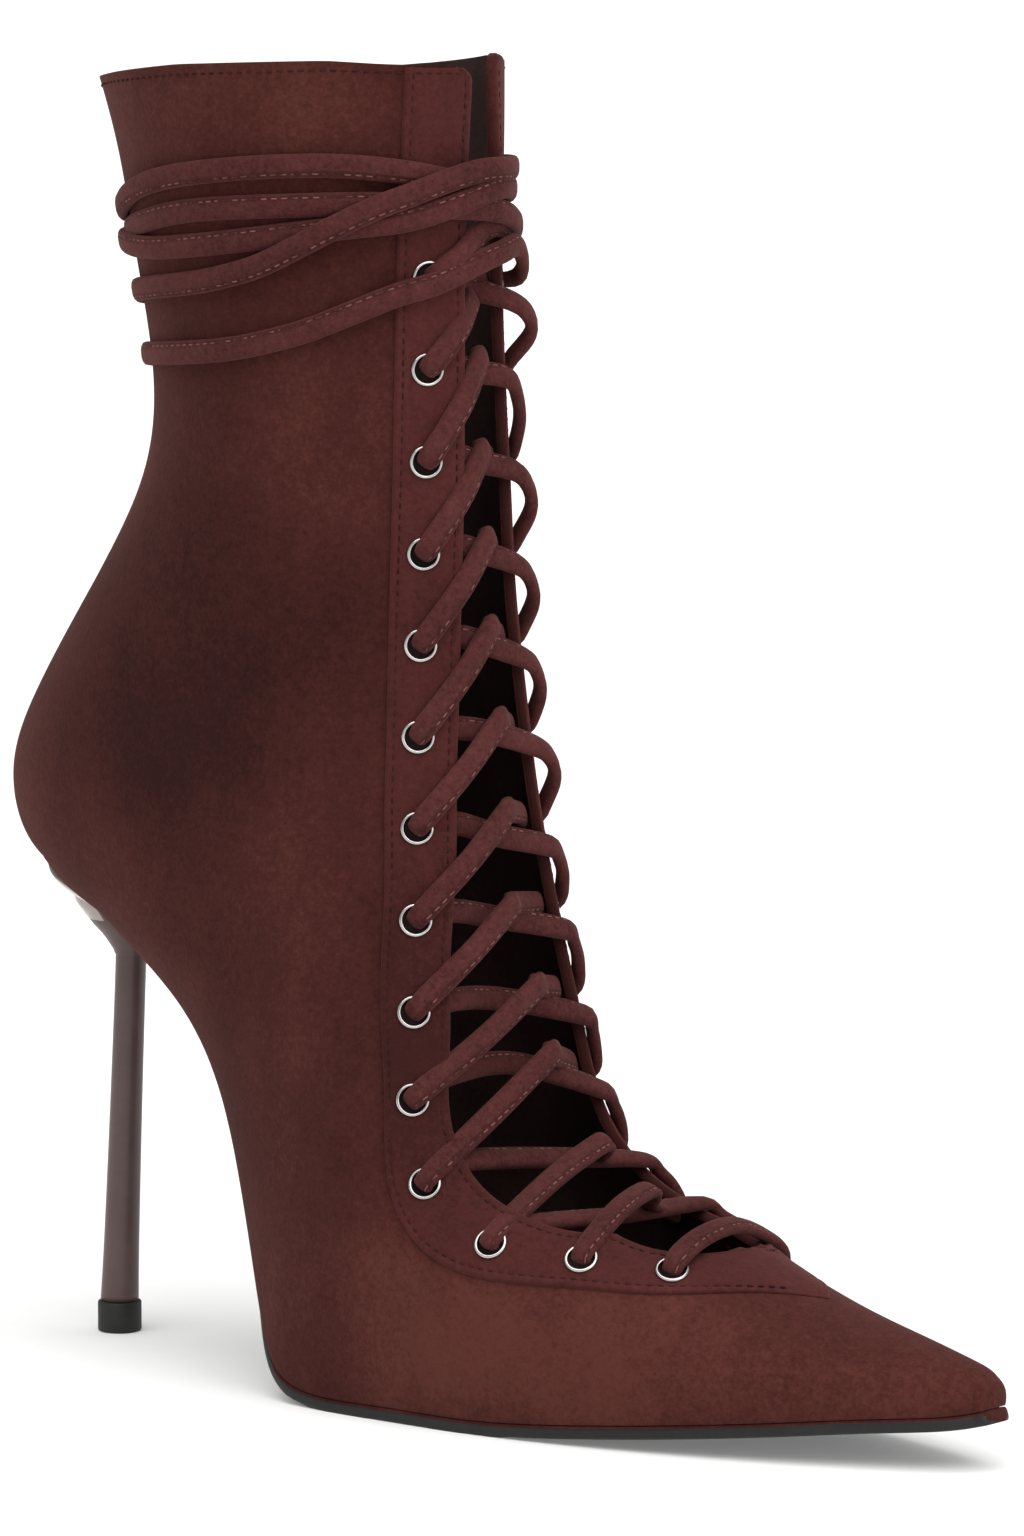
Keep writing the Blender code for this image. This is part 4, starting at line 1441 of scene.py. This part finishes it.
@dataclass
class Lacing:
    """The lace: its bar, its crossings and its two wound ends."""

    last: Last
    eyelets: Eyelets
    finishes: Finishes
    cord: Cord = field(default_factory=Cord)
    over: float = 2.6  # heights over the form: on the facing, under it and inside an eyelet
    under: float = -3.1
    inside: float = -1.6
    bow: float = 2.3  # how far an upper strand bows out, and where on its way
    bow_place: float = 0.55
    step: float = 1.3
    # Ends of the lace: turns round the shaft, heights over the floor and heights over the shaft.
    wrap_near: tuple[tuple[float, float, float], ...] = (
        (-0.14, 234.0, 1.8), (-0.3, 229.0, 1.0), (-0.5, 224.0, 0.9), (-0.6, 225.0, 0.9),
        (-0.72, 227.2, 1.0), (-0.78, 229.8, 1.8), (-0.81, 232.2, 2.8), (-0.84, 235.6, 3.5),
        (-0.87, 239.4, 4.4), (-0.9, 243.0, 5.0), (-0.925, 245.4, 5.1), (-0.95, 247.8, 4.8),
        (-0.98, 249.8, 3.9), (-1.02, 250.2, 3.2), (-1.07, 250.4, 2.8), (-1.13, 250.0, 1.6),
        (-1.3, 246.0, 1.0), (-1.5, 241.0, 1.3), (-1.59, 242.0, 1.4), (-1.66, 246.2, 1.0),
        (-1.72, 248.8, 1.0), (-1.8, 250.6, 1.0), (-1.87, 251.0, 1.3), (-1.92, 249.8, 2.4),
        (-1.955, 248.0, 2.5))
    wrap_far: tuple[tuple[float, float, float], ...] = (
        (0.06, 227.2, 2.8), (0.09, 225.2, 2.6), (0.13, 221.4, 1.7), (0.18, 217.2, 1.1),
        (0.26, 213.6, 1.0), (0.4, 211.8, 0.9), (0.5, 211.0, 0.9), (0.62, 215.0, 1.0),
        (0.71, 221.4, 2.1), (0.76, 226.6, 3.8), (0.88, 236.2, 3.9), (0.94, 238.6, 4.0),
        (1.0, 241.8, 2.8), (1.06, 242.8, 2.6), (1.12, 243.4, 1.6), (1.26, 242.0, 0.9),
        (1.36, 238.6, 0.5), (1.44, 235.8, 0.3), (1.5, 234.6, 0.3), (1.58, 236.0, 0.6),
        (1.66, 239.0, 0.8), (1.8, 243.4, 1.0), (1.9, 245.0, 1.9), (1.96, 246.2, 2.8),
        (2.0, 246.2, 3.0), (2.04, 243.2, 4.2), (2.08, 240.2, 3.9), (2.12, 239.0, 2.4),
        (2.17, 237.4, 1.2), (2.26, 235.0, 1.0), (2.34, 234.0, 1.2), (2.41, 235.2, 1.9),
        (2.47, 235.6, 2.1))

    def settle(self, route: np.ndarray, passes: int, window: int) -> tuple[np.ndarray, np.ndarray]:
        """Even out a line and find the directions across it.

        Args:
            route: Points on it, each with its outward direction.
            passes: How often its points are eased.
            window: Steps to each side that its direction is averaged over.

        Returns:
            Points at even steps and directions across the lace.
        """
        both = even_path(route, self.step)
        points, ups = both[:, :3], unit(both[:, 3:])
        for _ in range(passes):
            points[1:-1] = (points[:-2] + 2 * points[1:-1] + points[2:]) / 4
        ahead = np.gradient(points, axis=0)
        flat = ahead - ups * np.sum(ahead * ups, axis=1, keepdims=True)
        smooth = np.array([flat[max(0, i - window) : i + window + 1].mean(axis=0) for i in range(len(flat))])
        return points, unit(np.cross(smooth, ups))

    def over_strand(self, target: bmesh.types.BMesh, number: int) -> None:
        """Add the strand that runs from an outer eyelet straight to its tip and dives there.

        Args:
            target: The mesh that takes it.
            number: The eyelet, from 0 at the top.
        """
        plan = CROSSINGS[number - 1]
        low, high = self.eyelets.rows[Side.OUTER][number], self.eyelets.rows[Side.INNER][number - 1]
        arc = self.eyelets.arc(number, Side.OUTER)
        end = self.last.edges(round(high, 4), Side.INNER)[0]
        row = low + plan.tip_share * (high - low)
        # Rows, signed arcs and heights, from inside the eyelet to under the other facing.
        places = [(low, -arc - 0.4, self.inside), (low, -arc, 0.6), (low, -arc, self.over),
                  (row, plan.tip_arc, plan.tip_height), (row, plan.tip_arc + 2.2, plan.tip_height - 1.3),
                  (row + 0.1 * (high - row), plan.tip_arc + 3.6, plan.tip_height - 3.2),
                  (row + 0.6 * (high - row), end - 1.5, self.under - 0.4), (high, end + 5.0, self.under)]
        points, ups = self.last.frames(places)
        ahead, outward = points[3] - points[2], unit(ups[2] + ups[3])
        middle = points[2] + self.bow_place * ahead + self.bow * outward
        line = [*points[:2], points[2] + 1.4 * unit(ahead), middle, *points[3:]]
        self.lay(target, np.array(line), np.array([*ups[:3], outward, *ups[3:]]))

    def under_strand(self, target: bmesh.types.BMesh, number: int) -> None:
        """Add the strand that loops out of an inner eyelet and crosses under the other one.

        Args:
            target: The mesh that takes it.
            number: The eyelet, from 0 at the top.
        """
        plan = CROSSINGS[number - 1]
        low, high = self.eyelets.rows[Side.INNER][number], self.eyelets.rows[Side.OUTER][number - 1]
        arc = self.eyelets.arc(number, Side.INNER)
        row = low + plan.edge_share * (high - low)
        edge = self.last.edges(round(row, 4), Side.INNER)[0]
        end = self.last.edges(round(high, 4), Side.OUTER)[0]
        rise = row - low
        dive = high - 0.5 * plan.sag
        # Rows, signed arcs and heights, from inside the eyelet to under the other facing.
        places = [(low, arc + 0.3, self.inside), (low, arc, 1.0), (low + 0.16 * rise, arc - 1.2, 2.4),
                  (low + 0.52 * rise, edge + 4.2, plan.loop),
                  (low + 0.82 * rise, edge + 2.4, max(2.4, 0.85 * plan.loop)),
                  (row, edge - 1.0, 1.6), ((row + high) / 2 - plan.sag, 0.3 * plan.tip_arc, plan.middle),
                  (dive, 1.0 - end, -2.6), (dive, -end - 4.0, self.under),
                  (dive, -end - 7.0, self.under + 1.0)]
        self.lay(target, *self.last.frames(places))

    def lay(self, target: bmesh.types.BMesh, points: np.ndarray, ups: np.ndarray) -> None:
        """Add a strand that is narrow where it comes out of its eyelet.

        Args:
            target: The mesh that takes it.
            points: Points on its way.
            ups: Outward directions at them.
        """
        route = smooth_route(np.hstack([points, ups]), 8 * len(points))
        line, wides = self.settle(route, passes=1, window=9)
        along = np.linspace(0, 1, len(line))
        self.cord.add(target, line, wides, 0.8 + 0.2 * np.clip(along / 0.12, 0, 1) ** 1.5)

    def bar(self, target: bmesh.types.BMesh) -> None:
        """Add the bar between the lowest eyelets.

        Args:
            target: The mesh that takes it.
        """
        number = self.eyelets.count - 1
        rows = [self.eyelets.rows[side][number] for side in Side]
        arcs = [self.eyelets.arc(number, side) for side in Side]
        places = []
        for share, height in ((-1.02, self.inside), (-1.0, 0.8), (-0.94, self.over), (-0.6, 2.9), (-0.2, 2.6),
                              (0.15, 2.2), (0.5, 1.9), (0.85, 2.0), (1.0, 0.6), (1.02, self.inside)):
            k = rows[0] + (rows[1] - rows[0]) * (share + 1) / 2 + 0.16 * max(0.0, share) * (1 - share)
            places.append((k, share * arcs[0 if share < 0 else 1], height))
        self.lay(target, *self.last.frames(places))

    def build(self) -> list[bpy.types.Object]:
        """Build the bar, the crossings and both wound ends.

        Returns:
            All pieces.
        """
        pieces = []
        target = bmesh.new()
        self.bar(target)
        pieces.append(self.put("lace_bottom_bar", target, ("lace_bar",)))
        for number in range(self.eyelets.count - 2, 0, -1):
            target = bmesh.new()
            self.under_strand(target, number)
            self.over_strand(target, number)
            pieces.append(self.put(f"lace_cross_{number:02d}", target, (f"lace_crossing_{number:02d}",)))
        pieces += [self.wound("lace_end_near", self.wrap_near, Side.OUTER, "lace_wrap_near"),
                   self.wound("lace_end_far", self.wrap_far, Side.INNER, "lace_wrap_far")]
        return pieces

    def put(self, name: str, target: bmesh.types.BMesh, nodes: Sequence[str]) -> bpy.types.Object:
        """Make a piece of lace."""
        return put_piece(name, target, (self.finishes.lace,), nodes, FINE_WELD)

    def wound(self, name: str, wrap: Sequence[tuple[float, float, float]], side: Side,
              node: str) -> bpy.types.Object:
        """Build an end that winds round the shaft from its top eyelet.

        Args:
            name: The piece's name.
            wrap: Turns, heights over the floor and heights over the shaft.
            side: The side of its eyelet.
            node: The node that it stands for.

        Returns:
            The piece.
        """
        k = self.eyelets.rows[side][0]
        arc = self.eyelets.arc(0, side)
        edge = arc - self.eyelets.inset
        # Rows, signed arcs and heights, from inside the eyelet over the throat.
        if side is Side.OUTER:
            lead = [(k, -arc - 0.3, self.inside), (k, -arc, 0.8), (k + 0.05, -arc + 1.6, 2.6),
                    (k + 0.22, -edge - 1.5, 2.7), (k + 0.48, -1.0, 0.4), (k + 0.52, edge + 2.0, 1.8),
                    (k + 0.46, 16.0, 2.6), (k + 0.38, 26.0, 2.0)]
        else:
            lead = [(k, arc + 0.3, self.inside), (k, arc, 1.2), (k + 0.02, arc - 0.6, 4.6),
                    (k + 0.2, edge + 4.6, 5.2), (k + 0.36, edge + 0.5, 4.0), (k + 0.26, 0.0, 3.0),
                    (k + 0.12, -edge, 3.2)]
        turns = smooth_route(wrap, 7 * len(wrap))
        rest = [(*self.last.shaft_place(turn, height), lift) for turn, height, lift in turns]
        points, wides = self.joined(lead, rest)
        target = bmesh.new()
        along = np.arange(len(points)) * self.step
        self.cord.add(target, points, wides, 0.62 + 0.38 * np.clip(along / 7.0, 0, 1) ** 1.5)
        piece = self.put(name, target, (node,))
        start = self.last.lift(k, side.value * arc, 1.5) * MM
        [tuple(point * MM) for point in points]
        return piece

    def joined(self, lead: Sequence[tuple[float, float, float]],
               rest: Sequence[tuple[float, float, float]]) -> tuple[np.ndarray, np.ndarray]:
        """A line that follows a short lead and then a dense route.

        Args:
            lead: Rows, signed arcs and heights from the eyelet to the shaft.
            rest: The same along the shaft.

        Returns:
            Points and directions across the lace.
        """
        start = smooth_route([*lead, rest[0], rest[4]], 12 * len(lead))
        cut = len(start) - 12 * len(lead) // (len(lead) + 1)
        route = np.hstack(self.last.frames([*start[:cut], *rest]))
        return self.settle(route, passes=3, window=6)


@dataclass
class Bottom:
    """Sole, insole, heel and tip."""

    last: Last
    finishes: Finishes
    clearance: float = 0.15  # between the upper and the boards
    floor_snap: float = 0.25  # height under which the sole lies flat on the floor
    sole: float = 2.6
    sole_drop: float = 0.3
    sole_round: float = 0.9
    sole_end: float = 12.4
    welt: float = 0.3  # how far the sole's edge stands out, at the ball and at the waist
    waist_margin: float = -3.0
    waist: float = 2.0
    waist_rows: tuple[float, float] = (9.0, 10.3)
    suede_slope: float = 0.3  # how far up a face of the sole looks that the suede covers
    insole_rows: tuple[float, float] = (1.2, 13.31)
    insole_inset: float = 1.0
    insole_faces: tuple[float, float] = (-1.8, -0.1)
    insole_rounds: tuple[float, float] = (0.5, 0.1)
    tip_height: float = 6.6
    tip_radius: float = 4.7
    pin_gap: float = 0.15
    pin_length: float = 86.0
    pin_lean: float = 4.6
    # Shares of the pin's length, radii and how far the neck leans back under the seat.
    pin_levels: tuple[tuple[float, float, float], ...] = (
        (0.0, 4.1, 0.0), (0.15, 3.8, 0.0), (0.5, 3.45, 0.0), (0.84, 3.3, 0.0), (0.88, 3.6, 0.0),
        (0.9, 4.3, 0.3), (0.927, 5.6, 0.9), (0.953, 7.1, 1.8), (0.98, 8.2, 3.0), (1.003, 8.8, 4.4),
        (1.03, 8.4, 6.4))
    # Share of the pin's length over which its faces take the light grey painted reflection, unless they look
    # to the front.
    neck: float = 0.965
    neck_front: float = 0.2
    # Rows, half widths and depths of the seat that the neck carries.
    plate: tuple[tuple[float, float, float], ...] = (
        (12.4, 16.5, 1.8), (12.8, 16.3, 3.0), (13.1, 15.4, 4.5), (13.3, 14.5, 5.6), (13.5, 13.6, 5.9),
        (13.7, 12.2, 5.1), (13.9, 9.0, 3.2), (14.05, 5.4, 1.7), (14.2, 1.8, 0.5), (14.25, 0.6, 0.2))
    plate_power: float = 1.4

    def board(self, target: bmesh.types.BMesh, stations: Sequence[tuple[float, np.ndarray]]) -> None:
        """Add a closed board along the bottom profile.

        Args:
            target: The mesh that takes it.
            stations: Rows, and rings of places across and out of the boot.
        """
        rows = []
        for k, ring in stations:
            point, down = self.last.seat_frame(k)
            flat = point + ring[:, 1:2] * down
            z = np.maximum(flat[:, 1], 0.0)
            z[z < self.floor_snap] = 0.0
            row = np.stack([flat[:, 0], ring[:, 0] + self.last.size("swing", k), z], axis=1)
            rows.append(np.vstack([row, row[:1]]))
        close_roll(target, draped_grid(target, np.array(rows)))

    def edge(self, k: float, side: Side, margin: float) -> float:
        """Place across of the upper's bottom edge, moved out by a margin."""
        return side.value * (self.last.tuck(k) * self.last.half_width(k, side) + margin)

    @staticmethod
    def slab(outer: float, inner: float, top: float, low: float, round_top: float,
             round_low: float) -> np.ndarray:
        """A rounded slab's outline, as places across and out of the boot.

        Args:
            outer: Its edge on the outer side.
            inner: Its edge on the inner side.
            top: Its upper face.
            low: Its lower face.
            round_top: Radius of the upper edges.
            round_low: Radius of the lower edges.

        Returns:
            The ring of places.
        """
        quarter = np.linspace(0, math.pi / 2, 5)
        found = []
        for x, y, radius, way_x, way_y in ((inner, top, round_top, -1, 1), (inner, low, round_low, -1, -1),
                                           (outer, low, round_low, 1, -1), (outer, top, round_top, 1, 1)):
            for angle in quarter if way_x != way_y else quarter[::-1]:
                found.append((x + way_x * radius * (1 - math.sin(angle)),
                              y + way_y * radius * (1 - math.cos(angle))))
        ring = np.array(found)
        half = len(ring) // 2
        between = np.linspace(0.12, 0.88, 7)[:, None]
        low_run = ring[half - 1] + between * (ring[half] - ring[half - 1])
        top_run = ring[-1] + between * (ring[0] - ring[-1])
        return np.vstack([ring[:half], low_run, ring[half:], top_run])

    def bowl(self, half: float, thick: float) -> np.ndarray:
        """The heel seat's cut, flat on top and round below, as places across and out of the boot.

        Args:
            half: Its half width.
            thick: Its depth.

        Returns:
            The ring of places.
        """
        angle = np.linspace(-math.pi / 2, math.pi / 2, 25)
        power = 2 / self.plate_power
        across = half * np.sign(angle) * np.abs(np.sin(angle)) ** power
        out = self.clearance + thick * np.abs(np.cos(angle)) ** power
        lid = half * np.linspace(0.76, -0.76, 7)
        top = np.stack([lid, np.full_like(lid, self.clearance)], axis=1)
        return np.vstack([np.stack([across, out], axis=1), top])

    def outsole(self) -> bpy.types.Object:
        """Build the thin sole, flat under the ball and sprung at the toe, its upper rounding in suede.

        Returns:
            The piece.
        """
        stations = []
        nose = 1 - np.cos(np.linspace(0.42, math.pi / 2, 12))
        for k in (*nose, *np.arange(1.1, self.sole_end, 0.1), self.sole_end):
            waist = float(np.interp(k, self.waist_rows, (0.0, 1.0)))
            low = self.sole_drop + self.sole + waist * (self.waist - self.sole)
            margin = self.welt + waist * (self.waist_margin - self.welt)
            outer, inner = (self.edge(k, side, margin) for side in Side)
            ring = self.slab(outer, inner, self.clearance, low, self.sole_round, self.sole_round)
            stations.append((k, ring))
        target = bmesh.new()
        self.board(target, stations)
        for face in target.faces:
            face.material_index = int(face.normal.z > self.suede_slope)
        materials = (self.finishes.sole, self.finishes.suede)
        return put_piece("sole_board", target, materials, ("outsole",))

    def insole(self) -> bpy.types.Object:
        """Build the board inside.

        Returns:
            The piece.
        """
        stations = []
        for k in np.arange(*self.insole_rows, 0.1):
            outer, inner = (self.edge(k, side, -self.insole_inset) for side in Side)
            stations.append((k, self.slab(outer, inner, *self.insole_faces, *self.insole_rounds)))
        target = bmesh.new()
        self.board(target, stations)
        return put_piece("insole_board", target, (self.finishes.lining,), ("insole",))

    def heel(self) -> list[bpy.types.Object]:
        """Build the pin with its seat plate, painted light grey as a reflection, and the tip.

        Returns:
            Both pieces.
        """
        target = bmesh.new()
        stations = []
        for k, half, thick in smooth_route(self.plate, 40):
            stations.append((k, self.bowl(max(0.4, half), max(0.1, thick))))
        self.board(target, stations)
        # The seat plate takes the painted reflection.
        for face in target.faces:
            face.material_index = 1
        foot = self.tip_height + self.pin_gap
        levels = [(share * self.pin_lean - back, foot + share * self.pin_length, radius)
                  for share, radius, back in smooth_route(self.pin_levels, 80)]
        self.turned(target, levels)
        neck_height = (foot + self.neck * self.pin_length) * MM
        # Faces of the neck that don't look to the front take the painted reflection too.
        for face in target.faces:
            if face.calc_center_median().z > neck_height and face.normal.x < self.neck_front:
                face.material_index = 1
        materials = (self.finishes.lacquer, self.finishes.lacquer_reflection)
        heel = put_piece("heel_pin", target, materials, ("heel",), FINE_WELD)
        target = bmesh.new()
        wide, top = self.tip_radius, self.tip_height
        self.turned(target, [(0.0, 0.0, wide - 0.5), (0.0, 0.15, wide - 0.15), (0.0, 0.5, wide),
                             (0.0, top - 0.35, wide), (0.0, top - 0.08, wide - 0.12), (0.0, top, wide - 0.4)])
        tip = put_piece("heel_top_piece", target, (self.finishes.tip,), ("heel_tip",),
                        FINE_WELD)
        return [heel, tip]

    def turned(self, target: bmesh.types.BMesh, levels: Sequence[tuple[float, float, float]]) -> None:
        """Add a closed turned shape over the heel tip's centre.

        Args:
            target: The mesh that takes it.
            levels: Shift to the front, height and radius.
        """
        turn = np.linspace(0, 2 * math.pi, 41)
        rows = []
        for shift, z, radius in levels:
            x = shift - self.last.middle_x + radius * np.cos(turn)
            rows.append(np.stack([x, radius * np.sin(turn), np.full_like(turn, z)], axis=1))
        close_roll(target, draped_grid(target, np.array(rows)))


@dataclass
class Studio:
    """Floor, light and camera."""

    camera_mm: tuple[float, float, float] = (867.8, -1027.4, 272.6)
    yaw: float = 40.0
    pitch: float = 6.1
    focal_px: float = 6655.0
    frame_px: tuple[int, int] = (1024, 1536)
    sky: float = 0.55
    sun_power: float = 2.6
    sun_spread: float = 70.0
    sun_way: tuple[float, float, float] = (-0.3, 0.3, -1.0)
    boot_middle: tuple[float, float, float] = (0.0, 0.0, 0.12)
    # Distances from the middle of the floor and heights, in metres.
    floor_profile: tuple[tuple[float, float], ...] = (
        (0.0, 0.0), (1.0, 0.0), (2.0, 0.0), (3.0, 0.04), (4.5, 0.2), (6.5, 0.55), (9.0, 1.2))

    def build(self) -> None:
        """Set up the floor, the lights and the camera."""
        self.floor()
        self.sun()
        self.light("front", (1.6, -0.2, 0.9), 1.2, 10.0)
        bpy.context.scene.view_settings.view_transform = "Standard"
        world = bpy.data.worlds.new("studio")
        world.use_nodes = True
        background = world.node_tree.nodes["Background"]
        background.inputs["Color"].default_value = (1.0, 1.0, 1.0, 1.0)
        background.inputs["Strength"].default_value = self.sky
        bpy.context.scene.world = world
        self.camera()

    def floor(self) -> None:
        """A pale round floor that rises far away."""
        target = bmesh.new()
        turn = np.linspace(0, 2 * math.pi, 49)
        rows = []
        for reach, up in self.floor_profile:
            ring = np.stack([reach * np.cos(turn), reach * np.sin(turn), np.full_like(turn, up)], axis=1)
            rows.append(ring / MM)
        draped_grid(target, np.array(rows), turn_over=True)
        bmesh.ops.remove_doubles(target, verts=target.verts, dist=PLAIN_WELD)
        for face in target.faces:
            face.smooth = True
        mesh = bpy.data.meshes.new("studio_floor")
        target.to_mesh(mesh)
        target.free()
        paper = Smooth("floor_paper", (0.80, 0.80, 0.79), (0.82, 0.82, 0.81), 0.9, glow=0.15)
        mesh.materials.append(paper.make())
        floor = bpy.data.objects.new("studio_floor", mesh)
        bpy.context.scene.collection.objects.link(floor)

    def sun(self) -> None:
        """A broad even light from above, a little from the camera's side."""
        data = bpy.data.lights.new("sky_panel", "SUN")
        data.energy = self.sun_power
        data.angle = math.radians(self.sun_spread)
        lamp = bpy.data.objects.new("sky_panel", data)
        lamp.rotation_euler = Vector(self.sun_way).to_track_quat("-Z", "Y").to_euler()
        bpy.context.scene.collection.objects.link(lamp)

    def light(self, name: str, place: tuple[float, float, float], size: float, power: float) -> None:
        """Add a soft light that looks at the boot.

        Args:
            name: Its name.
            place: Where it hangs.
            size: Its width.
            power: Its power in watts.
        """
        data = bpy.data.lights.new(name, "AREA")
        data.size = size
        data.energy = power
        lamp = bpy.data.objects.new(name, data)
        lamp.location = place
        way = Vector(self.boot_middle) - Vector(place)
        lamp.rotation_euler = way.to_track_quat("-Z", "Y").to_euler()
        bpy.context.scene.collection.objects.link(lamp)

    def camera(self) -> None:
        """Put the camera at the photograph's angle."""
        data = bpy.data.cameras.new("camera")
        data.sensor_width = 36.0
        data.lens = self.focal_px * data.sensor_width / max(self.frame_px)
        camera = bpy.data.objects.new("camera", data)
        camera.location = Vector(self.camera_mm) * MM
        camera.rotation_euler = (math.radians(90 - self.pitch), 0.0, math.radians(self.yaw))
        bpy.context.scene.collection.objects.link(camera)
        bpy.context.scene.camera = camera


def main() -> None:
    """Build the boot piece by piece."""
    logging.basicConfig(level=logging.INFO, format="%(name)s: %(message)s")
    last = Last()
    finishes = Finishes()
    Studio().build()
    facing = Facing(last, finishes)
    eyelets = Eyelets(last, facing, finishes)
    Lacing(last, eyelets, finishes).build()
    Upper(last, finishes).build()
    facing.build()
    Seams(last, facing, finishes).build()
    eyelets.build()
    bottom = Bottom(last, finishes)
    bottom.outsole()
    bottom.insole()
    bottom.heel()


if __name__ == "__main__":
    main()
